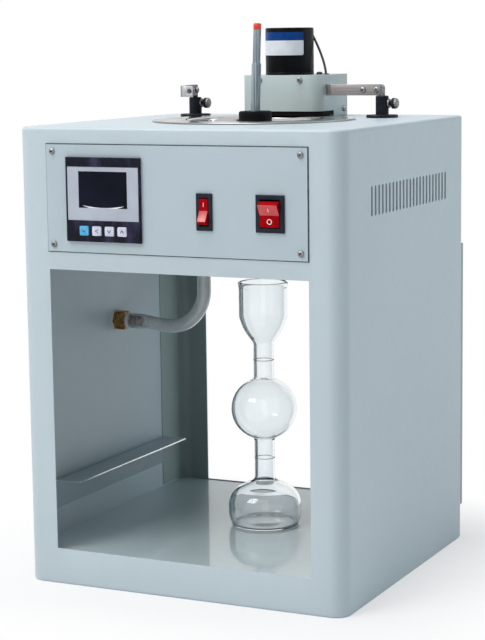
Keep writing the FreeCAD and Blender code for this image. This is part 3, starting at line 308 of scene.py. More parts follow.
def folded_frame(name, side, holes, *materials):
    """One folded sheet; a second material goes on the inside of the sheet."""
    bm = bmesh.new()
    plan = [(-153, 135), (-153, 149), (153, 149), (153, 135)]
    pull(bm, line_of(bm, [(x, side * y, 1.5) for x, y in plan]), (0, 0, 399))
    soften(bm, [e for e in bm.edges if upright(e) and abs(abs(e.verts[0].co.y) - 149) < 0.1], 14, 12)
    for hole in holes:
        punch(bm, *hole, -149.5, 149.5)
    thicken(bm, 1.5, lambda face: face.normal.y * side * face.calc_area())
    soften(bm, [e for e in rims_of(bm) if all(abs(v.co.x) < 122.6 and 2 < v.co.z < 399 for v in e.verts)], 0.35, 2)
    if len(materials) > 1:
        for face in bm.faces:
            middle = face.calc_center_median()
            inside = abs(middle.y) < 147.6 and face.normal.y * side < -0.1 and middle.z > 2
            face.material_index = 1 if inside else 0
    return settle(bm, name, "cabinet", *materials)


front_holes = [(-122.5, 122.5, 31.9, 281.0), (-110.5, 110.5, 309.1, 377.1)]
rear_holes = [(-122.5, 122.5, 31.0, 281.0), (79.9, 110.1, 335.4, 357.6)]
front_shell = folded_frame("front_shell", -1, front_holes, sheet_paint)
# The rear frame's inside faces, the flange seen through the window, take the darker coat: painted shade.
rear_shell = folded_frame("rear_shell", 1, rear_holes, sheet_paint, painted_shade_inner_coat)
# The corner laps take a darker coat than the cabinet's: painted shade in the chamber's rear corners.
lap_coat_painted_shade = powder_coat("lap_coat_painted_shade", shade(150, 164, 162), 0.03)
bm = bmesh.new()
for side in (-1, 1):
    block(bm, (side * 151.2, 125.3, 157.5), (0.8, 43.4, 252))
rear_laps = settle(bm, "rear_corner_laps", "cabinet", lap_coat_painted_shade, sharp=30)
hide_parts("front_frame")
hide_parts("rear_frame")


# Top panel: a shallow pan, its rim bent down with a soft 2.4 mm bend that catches the light all round.
# A round opening in it takes the bath vessel and is covered by the bath's ring.
def ring_of(bm, radius, count, matrix):
    """The edges of a new circle."""
    made = bmesh.ops.create_circle(bm, segments=count, radius=radius, matrix=matrix)
    return list({e for v in made["verts"] for e in v.link_edges})


bath_y = 9
top_z = 403.5
bm = bmesh.new()
block(bm, (0, 0, 402), (306, 298, 3))
bmesh.ops.delete(bm, geom=[f for f in bm.faces if f.normal.z < -0.5], context="FACES_ONLY")
soften(bm, [e for e in bm.edges if upright(e)], 14, 12)
soften(bm, [e for e in bm.edges if all(v.co.z > top_z - 0.1 for v in e.verts)], 2.4, 5)
crown = max(bm.faces, key=lambda f: f.calc_area())
crown_edges = list(crown.edges)
bmesh.ops.delete(bm, geom=[crown], context="FACES_ONLY")
bath_edges = ring_of(bm, 89.7, 96, Matrix.Translation((0, bath_y, top_z)))
bmesh.ops.bridge_loops(bm, edges=crown_edges + bath_edges)
bmesh.ops.recalc_face_normals(bm, faces=bm.faces)
bmesh.ops.solidify(bm, geom=bm.faces[:], thickness=1.4)
top_pan = settle(bm, "top_pan", "cabinet", sheet_paint, sharp=50)
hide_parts("top_panel")

# Side ledge: a folded steel angle screwed to the left inner wall at about a fifth of the chamber's height.
# It is coated like the cabinet, in a darker copy of its coat that is painted shade; its ridge is bent at 3 mm, its
# front edge takes a bright steel colour as a painted highlight, and it carries nothing.
ledge_painted_shade_coat = powder_coat("ledge_coat_painted_shade", shade(168, 182, 188), 0.02)
ledge_painted_highlight = finish("ledge_edge_painted_highlight", shade(206, 213, 217), shade(232, 237, 239), 0.2, 300, metallic=1.0)
wall_x, ledge_z = -151.5, 81.8
bm = bmesh.new()
section = [(wall_x, -103.5, 54.8), (wall_x, -103.5, ledge_z), (-124.5, -103.5, ledge_z)]
pull(bm, line_of(bm, section), (0, 207, 0))
ridge = [e for e in bm.edges if all(abs(v.co.x - wall_x) + abs(v.co.z - ledge_z) < 0.01 for v in e.verts)]
soften(bm, ridge, 3, 5)
for face in bm.faces:
    if face.normal.z < -0.1 or face.normal.x > 0.1:
        face.normal_flip()
bmesh.ops.solidify(bm, geom=bm.faces[:], thickness=1.5)
soften(bm, rims_of(bm), 0.3, 2)
# Faces at the free front edge take the bright steel: painted highlight.
for face in bm.faces:
    face.material_index = 1 if face.calc_center_median().x > -124.9 else 0
ledge = settle(bm, "ledge", "cabinet", ledge_painted_shade_coat, ledge_painted_highlight)
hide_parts("side_ledge")


# Fascia: a separate coated plate on the front, standing a sheet's thickness proud; its edge faces and a thin strip
# round its rim are coloured dark, as a painted shadow line.
# It is punched for the controller and the two switches, and four pan-head screws hold its corners.
def open_back(bm):
    """Takes off the faces that look to the rear."""
    bmesh.ops.delete(bm, geom=[f for f in bm.faces if f.normal.y > 0.5], context="FACES_ONLY")


# Dark colour for the fascia's edge faces and the strip round it: painted shadow.
fascia_painted_shadow_edge = finish("fascia_edge_painted_shadow", shade(58, 72, 78), shade(86, 100, 106), 0.6, 300)
relief(fascia_painted_shadow_edge, grain(fascia_painted_shadow_edge, 2500, 2), 0.00005)
fascia_paint = powder_coat("fascia_powder_coat", shade(177, 191, 198), 0.012)
fascia_z = 343.1
bm = bmesh.new()
block(bm, (0, -149.6, fascia_z), (245, 1.2, 92))
for hole in ((-99.9, -32.1, 308.7, 376.5), (22.9, 35.9, 320.5, 349.1), (78.0, 101.0, 320.5, 349.1)):
    punch(bm, *hole, -151, -148)
open_back(bm)
for face in bm.faces:
    face.material_index = 0 if face.normal.y < -0.5 else 1
fascia = settle(bm, "fascia", "cabinet", fascia_paint, fascia_painted_shadow_edge, sharp=30)
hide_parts("fascia_plate")
# A thin dark strip under the fascia's rim, showing just beyond it: painted shadow, no part of the cabinet.
bm = bmesh.new()
block(bm, (0, -149.1, fascia_z), (246.8, 0.2, 93.8))
punch(bm, -121.5, 121.5, 298.1, 388.1, -151, -148)
open_back(bm)
fascia_painted_shadow_strip = settle(bm, "fascia_painted_shadow_strip", "cabinet", fascia_painted_shadow_edge, sharp=30)


# Pan-head screws: zinc-plated steel with a pressed cross recess, one size for the fascia, shroud and arms.
# Each is pressed from wire, so the head has a low dome, a soft edge and a cross recess where the driver sits,
# coloured dark as painted shade.
def join_form(bm, form):
    """Adds a finished form to another one."""
    held = bpy.data.meshes.new("held_form")
    form.to_mesh(held)
    form.free()
    bm.from_mesh(held)
    bpy.data.meshes.remove(held)


def screw_form(bm, centre, direction, spin):
    """A pan head standing on centre and facing direction, its cross turned by spin degrees."""
    form = bmesh.new()
    arm, half = 1.45, 0.36
    outline = []
    for quarter in range(4):
        turn = math.radians(90 * quarter + spin)
        for x, y in ((arm, -half), (arm, half), (half, half)):
            outline.append((x * math.cos(turn) - y * math.sin(turn), x * math.sin(turn) + y * math.cos(turn), 1.85))
    cross = line_of(form, outline, closed=True)
    deep = pull(form, cross, (0, 0, -0.9))
    bmesh.ops.scale(form, vec=(0.8, 0.8, 1), verts=list({v for e in deep for v in e.verts}))
    bmesh.ops.contextual_create(form, geom=deep)
    recess = set(form.faces)
    before = cross
    for radius, height in ((1.75, 1.84), (2.3, 1.6), (2.65, 1.15), (2.8, 0.6), (2.8, 0.0)):
        after = ring_of(form, radius, 24, Matrix.Translation((0, 0, height)))
        bmesh.ops.bridge_loops(form, edges=before + after)
        before = after
    # The recess faces take the dark colour: painted shade.
    for face in form.faces:
        face.material_index = 1 if face in recess else 0
    matrix = Matrix.Translation(centre) @ Vector(direction).to_track_quat("Z", "Y").to_matrix().to_4x4()
    bmesh.ops.transform(form, matrix=matrix, verts=form.verts)
    join_form(bm, form)


screw_zinc = finish("screw_zinc", shade(118, 120, 124), shade(166, 166, 164), 0.38, 700, 3, 1.0)
screw_recess_painted_shade = finish("screw_recess_painted_shade", shade(36, 34, 33), shade(80, 76, 72), 0.55, 900, metallic=0.8)
bm = bmesh.new()
for x, z, spin in ((-116.5, 303.1, 20), (116.5, 303.1, 55), (-116.5, 383.1, 8), (116.5, 383.1, 70)):
    screw_form(bm, (x, -150.2, z), (0, -1, 0), spin)
fascia_heads = settle(bm, "fascia_screw_heads", "cabinet", screw_zinc, screw_recess_painted_shade)
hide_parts("fascia_screws")

# Controller: a 72 mm square panel instrument. Its bezel is moulded black plastic with a slight gloss,
# open at the front for the printed face, and pierced in its lower band for four soft keys.
# The bezel's black drifts to lighter bluish streaks here and there: painted glare.
bezel_black_painted_glare = finish("bezel_plastic_painted_glare", shade(20, 20, 33), shade(58, 54, 84), 0.3, 90, 3,
                     stretch=(1, 1, 0.5), band=(0.5, 0.78))
feed(shader_of(bezel_black_painted_glare), ("Specular IOR Level", 0.12))
wear(bezel_black_painted_glare, grain(bezel_black_painted_glare, 250), 0.24, 0.38)
relief(bezel_black_painted_glare, grain(bezel_black_painted_glare, 1500, 2), 0.00003, 0.6)
controller_x, controller_z, key_pitch = -66, 342.6, 12.3
key_places = [controller_x + (index - 1.5) * key_pitch for index in range(4)]
near_front = -153.1
bm = bmesh.new()
block(bm, (controller_x, -151.7, controller_z), (72, 3, 72))
open_back(bm)
punch(bm, -100.5, -31.5, 324.8, 370.6, -154, -150)
for key_x in key_places:
    punch(bm, key_x - 4.65, key_x + 4.65, 311.75, 320.25, -154, -150)
pull(bm, [e for e in bm.edges if len(e.link_faces) == 1 and all(v.co.y < near_front for v in e.verts)], (0, 2.6, 0))
soften(bm, [e for e in rims_of(bm, 1.0) if all(v.co.y < near_front for v in e.verts)], 0.35, 3)
block(bm, (controller_x, -121.2, controller_z), (67.6, 58, 67.6))
bezel = settle(bm, "controller_bezel", "cabinet", bezel_black_painted_glare)
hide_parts("controller_case")

# Controller face and window: a lavender-grey printed film set just below the bezel, with a tinted window
# in its upper half. The window is a clear pane over a dark display that is switched off.
face_film = finish("face_film", shade(168, 174, 186), shade(178, 184, 196), 0.38, 40)
relief(face_film, grain(face_film, 1800, 1), 0.00002, 0.5)
dress(face_film, "controller_face")
window_dark = finish("display_window", shade(17, 20, 30), shade(25, 28, 42), 0.08, 30)
feed(shader_of(window_dark), ("Specular IOR Level", 0.04))
dress(window_dark, "controller_display")


# Keys: four soft moulded caps with rounded rims, the first one cyan and the others pale grey.
# Plain generic signs are printed on them: a short bar, a left arrow, a down arrow and an up arrow.
def key_cap(name, key_x, material):
    form = bmesh.new()
    block(form, (key_x, -152.7, 316.0), (9.0, 2.6, 8.2))
    soften(form, [e for e in form.edges if abs(e.verts[0].co.y - e.verts[1].co.y) > 1], 1.3, 4)
    soften(form, [e for e in form.edges if all(v.co.y < -153.9 for v in e.verts)], 0.55, 4)
    return settle(form, name + "_cap", name + "_body", material, sharp=60)


def key_plastic(name, low, high):
    material = finish(name, low, high, 0.45, 220)
    relief(material, grain(material, 2200, 2), 0.00004, 0.7)
    return material


def push(bm, faces, step):
    """Draws faces out into a body."""
    drawn = bmesh.ops.extrude_face_region(bm, geom=faces)["geom"]
    bmesh.ops.translate(bm, vec=step, verts=[part for part in drawn if isinstance(part, bmesh.types.BMVert)])


def flat_sign(name, body, points, facing_y, material):
    """A printed sign a tenth of a millimetre thick, from its outline in the plane of the front."""
    form = bmesh.new()
    face = form.faces.new([form.verts.new((x, facing_y, z)) for x, z in points])
    push(form, [face], (0, -0.08, 0))
    return settle(form, name, body, material, sharp=20)


key_cyan = key_plastic("key_cyan", shade(70, 164, 208), shade(88, 184, 222))
key_grey = key_plastic("key_pale", shade(196, 198, 218), shade(216, 216, 232))
key_ink = finish("key_ink", shade(48, 54, 92), shade(78, 84, 124), 0.5, 800)
sign_outlines = (
    [(-1.6, 315.3), (1.6, 315.3), (1.6, 316.1), (-1.6, 316.1)],
    [(1.5, 314.4), (1.5, 315.1), (-0.6, 316.1), (1.5, 317.1), (1.5, 317.8), (-1.8, 316.1)],
    [(0, 314.2), (2.0, 317.2), (1.1, 317.2), (0, 315.4), (-1.1, 317.2), (-2.0, 317.2)],
    [(0, 317.8), (-2.0, 314.8), (-1.1, 314.8), (0, 316.6), (1.1, 314.8), (2.0, 314.8)],
)
for key_name, key_x, outline in zip(("set_key", "shift_key", "down_key", "up_key"), key_places, sign_outlines):
    is_set = key_name == "set_key"
    cap = key_cap(key_name, key_x, key_cyan if is_set else key_grey)
    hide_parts(key_name)
    sign = flat_sign(key_name + "_sign", key_name + "_body", [(key_x + x, z) for x, z in outline], -154.0, key_ink)

# Display glare: a clear protective film is still on the new instrument's window.
# A flat near-white bow along the window's lower edge is a painted highlight where the film catches the light.
film_glare_paint = finish("film_painted_glare", shade(222, 224, 232), shade(248, 249, 252), 0.25, 120, stretch=(0.4, 1, 1))
film_left, film_width, film_steps = -86.2, 41, 14
film_bow = [math.sin(math.pi * step / film_steps) for step in range(film_steps + 1)]
film_across = [film_left + film_width * step / film_steps for step in range(film_steps + 1)]
film_low = [(x, 337.6 - 4.0 * bow) for x, bow in zip(film_across, film_bow)]
film_high = [(x, 337.7 - 1.9 * bow) for x, bow in zip(film_across, film_bow)][-2:0:-1]
film_painted_glare = flat_sign("display_painted_glare", "cabinet", film_low + film_high, -152.45, film_glare_paint)


# Switch bezels: snap-in rocker switches, the frame moulded in black nylon with softly rounded rims.
# The bezel overlaps the fascia's cut-out and its well runs some 20 mm deep behind the rocker.
def switch_frame(name, centre_x, width, opening, material):
    form = bmesh.new()
    loops = []
    for half_x, half_z in ((width / 2, 15.5), (opening / 2, 11.75)):
        corners = [(centre_x + sx * half_x, -152.2, switch_z + sz * half_z) for sx, sz in square]
        loops.append(line_of(form, corners, closed=True))
    bmesh.ops.bridge_loops(form, edges=loops[0] + loops[1])
    pull(form, loops[0], (0, 2.0, 0))
    bmesh.ops.contextual_create(form, geom=pull(form, loops[1], (0, 21.8, 0)))
    soften(form, [e for e in rims_of(form, 1.0) if all(v.co.y < -152.1 for v in e.verts)], 0.6, 3)
    return settle(form, name, "cabinet", material, sharp=60)


square = [(-1, -1), (1, -1), (1, 1), (-1, 1)]
switch_z, power_x, stirrer_x = 334.8, 89.5, 29.4
nylon_black = finish("switch_nylon", shade(24, 30, 40), shade(36, 43, 54), 0.42, 120, 3)
feed(shader_of(nylon_black), ("Specular IOR Level", 0.15))
relief(nylon_black, grain(nylon_black, 2600, 2), 0.00005, 0.8)
power_frame = switch_frame("power_switch_frame", power_x, 25.5, 18.2, nylon_black)
stirrer_frame = switch_frame("stirrer_switch_frame", stirrer_x, 14.5, 8.7, nylon_black)
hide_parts("power_switch_body")
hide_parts("stirrer_switch_body")


# Rockers: translucent red polycarbonate, two slanted halves that meet in a shallow valley at the pivot.
# The small one is pressed at the top and the large one at the bottom; white marks are moulded in.
def rocker_form(name, centre_x, width, tilt, body, *materials):
    """The rocker and where it stands; the half that leans towards the light takes the second material, a lighter red
    that is painted light.
    """
    form = bmesh.new()
    outline = [(4.0, 0), (6.57, 9.6), (1.0, 11.2), (-3.4, 8.8), (-3.4, -8.8), (1.0, -11.2), (6.57, -9.6)]
    side = form.faces.new([form.verts.new((-width / 2, -forward, z)) for forward, z in outline])
    push(form, [side], (width, 0, 0))
    soften(form, [e for e in rims_of(form, 0.6) if all(v.co.y < -0.9 for v in e.verts)], 0.4, 3)
    form.normal_update()
    for face in form.faces:
        face.material_index = 1 if face.calc_center_median().z * tilt > 0 and abs(face.normal.y) > 0.8 else 0
    turn = Matrix.Translation((centre_x, -148.7, switch_z)) @ Matrix.Rotation(math.radians(tilt), 4, "X")
    bmesh.ops.transform(form, matrix=turn, verts=form.verts)
    return settle(form, name, body, *materials, sharp=60), turn


def rocker_mark(name, turn, half, kind, body, material):
    """A line or ring on the upper (1) or lower (-1) half, which leans forward by 15 degrees from the valley."""
    form = bmesh.new()
    lean = Matrix.Rotation(math.atan2(2.57, 9.6) * half, 4, "X")
    place = turn @ Matrix.Translation((0, -5.35, 5.0 * half)) @ lean
    if kind == "line":
        bmesh.ops.create_cube(form, size=1, matrix=place @ Matrix.Diagonal((0.55, 0.2, 3.4, 1)))
    else:
        flat = place @ Matrix.Rotation(math.radians(90), 4, "X")
        bmesh.ops.bridge_loops(form, edges=ring_of(form, 2.3, 32, flat) + ring_of(form, 1.6, 32, flat))
        bmesh.ops.solidify(form, geom=form.faces[:], thickness=0.12)
    return settle(form, name, body, material, sharp=30)


rocker_red = finish("rocker_red", shade(152, 3, 10), shade(168, 8, 17), 0.35, 150)
feed(shader_of(rocker_red), ("Specular IOR Level", 0.02), ("Subsurface Weight", 0.1),
     ("Subsurface Radius", (0.004, 0.0006, 0.0005)))
# A lighter copy of the red for the half that leans towards the light: painted light, under a real gloss coat.
rocker_polished_painted_light = finish("rocker_red_polished_painted_light", shade(190, 26, 32), shade(206, 38, 44), 0.3, 150)
feed(shader_of(rocker_polished_painted_light), ("Coat Weight", 1.0), ("Coat Roughness", 0.24))
mark_white = finish("mark_white", shade(228, 214, 212), shade(244, 238, 236), 0.4, 900)
power_piece, power_turn = rocker_form("power_rocker_cap", power_x, 17.7, 15, "power_rocker_body",
                                      rocker_red, rocker_polished_painted_light)
stirrer_piece, stirrer_turn = rocker_form("stirrer_rocker_cap", stirrer_x, 8.2, -15, "stirrer_rocker_body",
                                          rocker_red, rocker_polished_painted_light)
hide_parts("power_rocker")
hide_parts("stirrer_rocker")
for mark in (rocker_mark("power_on_mark", power_turn, 1, "line", "power_rocker_body", mark_white),
             rocker_mark("power_off_mark", power_turn, -1, "ring", "power_rocker_body", mark_white),
             rocker_mark("stirrer_on_mark", stirrer_turn, 1, "line", "stirrer_rocker_body", mark_white)):
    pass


# Bath ring: a flat stainless ring on the top panel with a polished neck that dips to the pot.
# It is turned, so fine circular tool lines run round it, and its rims are broken with a small radius.
def turn_form(profile, centre=(0, 0, 0), steps=96, axis=(0, 0, 1)):
    """Spins an outline of (radius, height) points, in millimetres, about an axis through centre."""
    form = bmesh.new()
    line_of(form, [(radius, 0, height) for radius, height in profile])
    bmesh.ops.spin(form, geom=form.verts[:] + form.edges[:], cent=(0, 0, 0), axis=(0, 0, 1), angle=math.tau,
                   steps=steps, use_merge=True, use_duplicate=False)
    bmesh.ops.remove_doubles(form, verts=form.verts, dist=0.001)
    lay = Vector(axis).to_track_quat("Z", "Y").to_matrix().to_4x4() if axis != (0, 0, 1) else Matrix.Identity(4)
    bmesh.ops.transform(form, matrix=Matrix.Translation(centre) @ lay, verts=form.verts)
    return form


def turned_metal(name, colour, rough, line_cycles, anisotropy=0.5):
    """Turned metal whose fine lines run round the bath's upright axis."""
    metal = bare_finish(name, rough, 1.0)
    tree = metal.node_tree
    centred = add_node(tree, "Mapping", ("Vector", tree.nodes["place"].outputs["Object"]),
                       ("Location", (0, -bath_y / 1000, 0)))
    flat = add_node(tree, "VectorMath", (0, centred.outputs[0]), (1, (1, 1, 0)), operation="MULTIPLY")
    reach = add_node(tree, "VectorMath", (0, flat.outputs[0]), operation="LENGTH")
    lines = add_node(tree, "TexNoise", ("W", reach.outputs["Value"]), ("Scale", line_cycles), ("Detail", 3),
                     noise_dimensions="1D").outputs["Fac"]
    tint(metal, lines, (*(part * 0.82 for part in colour[:3]), 1), colour, 0.3, 0.7)
    wear(metal, grain(metal, 60, 3), rough * 0.8, rough * 1.3)
    relief(metal, lines, 0.00004, 0.6)
    feed(shader_of(metal), ("Anisotropic", anisotropy))
    return metal


def off_axis(point):
    """How far a point is from the bath's axis."""
    return math.hypot(point.x, point.y - bath_y)


bath_steel = turned_metal("bath_steel", shade(162, 162, 161), 0.2, 900, 0.2)
neck_steel = turned_metal("neck_steel", shade(200, 200, 200), 0.1, 500, 0.2)
bm = turn_form([(89.8, 403.5), (91.6, 403.5), (92.0, 403.9), (92.0, 404.6), (91.5, 405.0), (62.6, 405.0),
                (61.3, 404.6), (60.5, 403.5), (60.3, 402.0), (60.3, 396.1), (60.6, 396.0), (61.5, 396.2),
                (61.5, 403.4), (89.8, 403.5)], (0, bath_y, 0), 128)
for face in bm.faces:
    if off_axis(face.calc_center_median()) < 62.4:
        face.material_index = 1
ring = settle(bm, "bath_ring", "cabinet", bath_steel, neck_steel)
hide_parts("bath_cover_ring")

# Bath vessel, pot and heater: spun and drawn stainless steel under the lid, seen only when it is lifted.
# The pot is polished inside; the heater's sheath is dull and slightly straw-coloured from use.
pot_steel = turned_metal("pot_steel", shade(198, 198, 196), 0.18, 1200)
bm = turn_form([(5.1, 323.2), (52.2, 323.2), (53.2, 324.2), (53.2, 395.9), (60.0, 395.95), (60.1, 396.6),
                (60.0, 397.2), (53.4, 397.2), (52.0, 396.6), (52.0, 326.0), (50.6, 324.5), (5.1, 324.4),
                (5.1, 323.2)], (0, bath_y, 0), 96)
pot = settle(bm, "inner_pot_spun", "cabinet", pot_steel)
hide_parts("inner_pot")
plain_steel = finish("drawn_steel", shade(160, 162, 166), shade(190, 191, 192), 0.34, 90, 3, 1.0)
relief(plain_steel, grain(plain_steel, 1400, 2, (1, 1, 0.04)), 0.00003)
dress(plain_steel, "bath_vessel", "outlet_tube", "temperature_probe", "stirrer_blades", "shaft_coupling",
      "pot_feet")
heater_sheath = finish("heater_sheath", shade(118, 110, 98), shade(152, 148, 140), 0.5, 120, 3, 1.0)
dress(heater_sheath, "heater_element")

# Lid: a thin stainless disc that rests on the pot's rim, spun with a lip that drops inside it.
# Its top is faintly dished and carries the same circular lines; its hole for the stopper is off centre.
lid_steel = turned_metal("lid_steel", shade(196, 196, 194), 0.22, 700)
stopper_x = 1.5
bm = turn_form([(10.6, 397.4), (12.4, 397.45), (44.0, 397.6), (48.0, 398.1), (53.8, 398.9), (54.8, 398.5),
                (54.8, 397.6), (51.7, 397.3), (51.7, 391.4), (50.5, 391.4), (50.5, 397.2), (10.6, 397.2),
                (10.6, 397.4)], (0, bath_y, 0), 128)
bmesh.ops.translate(bm, vec=(stopper_x, 0, 0), verts=[v for v in bm.verts if off_axis(v.co) < 13])
lid = settle(bm, "lid_disc", "lid", lid_steel)
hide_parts("pot_lid")

# Stopper: a black rubber disc, slightly crowned, with a fine moulded rib round its side.
# Its plug sits in the lid's hole and grips the thermometer's sleeve.
stopper_rubber = finish("stopper_rubber", shade(7, 8, 11), shade(15, 16, 20), 0.6, 90, 3)
feed(shader_of(stopper_rubber), ("Specular IOR Level", 0.08))
wear(stopper_rubber, grain(stopper_rubber, 400), 0.45, 0.7)
relief(stopper_rubber, grain(stopper_rubber, 1600, 2), 0.00008, 0.8)
bm = turn_form([(4.36, 386.9), (10.3, 386.9), (10.5, 387.4), (10.5, 398.9), (14.2, 398.9), (15.0, 399.6),
                (15.0, 403.6), (14.8, 404.1), (15.0, 404.6), (15.0, 410.2), (14.6, 411.3), (13.4, 411.9),
                (4.8, 411.9), (4.36, 411.5), (4.36, 386.9)], (stopper_x, bath_y, 0), 72)
stopper = settle(bm, "stopper", "lid", stopper_rubber)
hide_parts("lid_stopper")


# Thermometer: a glass rod with a wider protecting sleeve at its lower half and a slim scale strip inside.
# It leans a little to the right in the stopper; a moulded orange cap closes its top.
def painted_edge_light_and_shade(material, colour, blend, most, start, end):
    """Paints edge light and shade: turns the colour towards another where the surface turns away from the eye."""
    tree = material.node_tree
    shader = shader_of(material)
    facing = add_node(tree, "LayerWeight", ("Blend", blend)).outputs["Facing"]
    drifting = shader.inputs["Base Color"].links[0].from_socket
    mixed = add_node(tree, "Mix", ("Factor", spread(material, facing, 0.0, most, start, end)), ("A", drifting),
                     ("B", colour), data_type="RGBA")
    feed(shader, ("Base Color", mixed.outputs["Result"]))


lean_turn = Matrix.Translation((stopper_x, bath_y, 411.9)) @ Matrix.Rotation(math.radians(2.3), 4, "Y")
stem_glass_painted_edge_shade = finish("stem_glass_painted_edge_shade", shade(112, 128, 140), shade(206, 218, 224), 0.06, 700,
                    stretch=(1, 1, 0.015), band=(0.36, 0.64))
feed(shader_of(stem_glass_painted_edge_shade), ("Transmission Weight", 0.3), ("IOR", 1.3))
# The stem's colour turns dark towards its edges: painted edge shade.
painted_edge_light_and_shade(stem_glass_painted_edge_shade, shade(82, 92, 102), 0.35, 0.9, 0.35, 0.95)
bm = turn_form([(0, -71.9), (1.9, -71.9), (2.8, -69.0), (2.8, -60.0), (4.2, -55.6), (4.3, 41.0), (4.1, 42.2),
                (3.5, 43.2), (3.5, 72.6), (2.7, 72.6), (2.7, 43.0), (3.4, 41.2), (3.4, -54.0), (0, -57.0)],
               (0, 0, 0), 40)
bmesh.ops.transform(bm, matrix=lean_turn, verts=bm.verts)
stem = settle(bm, "thermometer_stem", "thermometer", stem_glass_painted_edge_shade)
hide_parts("thermometer_glass")
scale_white = finish("scale_strip", shade(112, 128, 140), shade(190, 202, 209), 0.4, 900,
                     stretch=(1, 1, 0.02), band=(0.38, 0.62))
bm = bmesh.new()
bmesh.ops.create_cone(bm, cap_ends=True, cap_tris=False, segments=32, radius1=1.9, radius2=1.9, depth=124,
                      matrix=lean_turn @ Matrix.Translation((0, 0, 9)))
scale = settle(bm, "thermometer_scale", "thermometer", scale_white)
cap_orange = finish("cap_orange", shade(228, 62, 40), shade(244, 84, 56), 0.4, 300)
relief(cap_orange, grain(cap_orange, 1500, 2), 0.00005)
bm = turn_form([(0, 72.7), (3.4, 72.7), (3.6, 73.0), (3.6, 77.3), (3.2, 78.1), (2.4, 78.5), (0, 78.5)],
               (0, 0, 0), 40)
bmesh.ops.transform(bm, matrix=lean_turn, verts=bm.verts)
cap = settle(bm, "thermometer_top", "thermometer", cap_orange)
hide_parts("thermometer_cap")

# Motor shroud: painted sheet wrapped round three sides of the motor's bracket, its front corners bent at 12 mm.
# Its sides reach down to the top panel behind the bath, and its front stops higher, above a black pad.
shroud_paint = powder_coat("shroud_powder_coat", shade(186, 199, 200), 0.015)
shroud_side, shroud_front, shroud_low, shroud_step_y = 40.5, 65, 409.3, 99
bm = bmesh.new()
plan = [(-shroud_side, 131.5), (-shroud_side, shroud_front), (shroud_side, shroud_front), (shroud_side, 131.5)]
pull(bm, line_of(bm, [(x, y, 403.7) for x, y in plan]), (0, 0, 39))
soften(bm, [e for e in bm.edges if upright(e) and e.verts[0].co.y < shroud_front + 1], 12, 12)
cut_plane(bm, (0, shroud_step_y, 0), (0, 1, 0))
cut_plane(bm, (0, 0, shroud_low), (0, 0, 1))
middles = {face: face.calc_center_median() for face in bm.faces}
low = [face for face, middle in middles.items() if middle.z < shroud_low and middle.y < shroud_step_y]
bmesh.ops.delete(bm, geom=low, context="FACES")
thicken(bm, 1.5, lambda face: face.normal.x * face.calc_center_median().x * face.calc_area())
soften(bm, rims_of(bm), 0.3, 2)
shroud = settle(bm, "shroud_wrap", "motor_head", shroud_paint)
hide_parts("motor_shroud")
dress(shroud_paint, "motor_bracket")

# Pad under the shroud: black foam rubber, cut with rounded front corners.
# It closes the gap between the shroud's front and the bath's ring.
pad_rubber = finish("pad_rubber", shade(3, 3, 5), shade(8, 8, 10), 0.85, 500, 3)
feed(shader_of(pad_rubber), ("Specular IOR Level", 0.15))
relief(pad_rubber, grain(pad_rubber, 1800, 3), 0.0001)
bm = bmesh.new()
block(bm, (0, 82.4, 407.2), (80, 32.4, 4.0))
soften(bm, [e for e in bm.edges if upright(e) and all(v.co.y < 67 for v in e.verts)], 10, 8)
pad = settle(bm, "shroud_pad_foam", "motor_head", pad_rubber)
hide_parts("shroud_pad")

# Shroud screws: the same zinc-plated pan heads as on the fascia.
# Two hold the shroud's front and one, low down, each of its sides.
bm = bmesh.new()
for x, spin in ((-20.5, 30), (20.5, 62)):
    screw_form(bm, (x, shroud_front, 438.3), (0, -1, 0), spin)
for side in (-1, 1):
    screw_form(bm, (side * shroud_side, 122, 410.2), (side, 0, 0), 40)
shroud_heads = settle(bm, "shroud_screw_heads", "motor_head", screw_zinc, screw_recess_painted_shade)
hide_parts("shroud_screws")

# Motor: a small round stirrer motor in satin black enamel, closed at the top with a rolled edge.
# A fine seam runs round near its foot, where the end bell meets the can.
motor_black = finish("motor_enamel", shade(4, 5, 8), shade(9, 10, 15), 0.36, 50, 3)
feed(shader_of(motor_black), ("Specular IOR Level", 0.08))
wear(motor_black, grain(motor_black, 300), 0.28, 0.42)
relief(motor_black, grain(motor_black, 1200, 2), 0.00004, 0.6)
motor_y = 89
bm = turn_form([(9.0, 439.7), (9.0, 442.7), (22.3, 442.7), (22.7, 443.0), (22.7, 444.8), (22.5, 445.1),
                (22.6, 445.4), (22.6, 485.0), (22.3, 485.9), (21.4, 486.3), (8.0, 486.3), (7.6, 486.0),
                (0, 486.0)], (0, motor_y, 0), 96)
motor = settle(bm, "motor_can", "motor_head", motor_black)
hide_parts("motor")

# Motor label: a foil label wrapped on the can, blue above and white below, with nothing printed on it.
# It is glued on by hand, and its lower right corner is cut round.
label_white = finish("label_white", shade(220, 226, 234), shade(232, 236, 242), 0.4, 90)
label_blue = finish("label_blue", shade(2, 54, 124), shade(8, 68, 140), 0.38, 90)
feed(shader_of(label_blue), ("Specular IOR Level", 0.15))
label_start, label_end, label_reach = math.radians(-170.0), math.radians(-31.0), 22.68
label_low, label_split, label_high, label_corner = 460.9, 474.5, 482.2, 1.8
label_levels = (label_low, label_low + 0.15, label_low + 0.6, label_low + label_corner, label_split, label_high)


def on_can(turn):
    """A point of the label's skin, at an angle round the motor."""
    return label_reach * math.cos(turn), motor_y + label_reach * math.sin(turn)


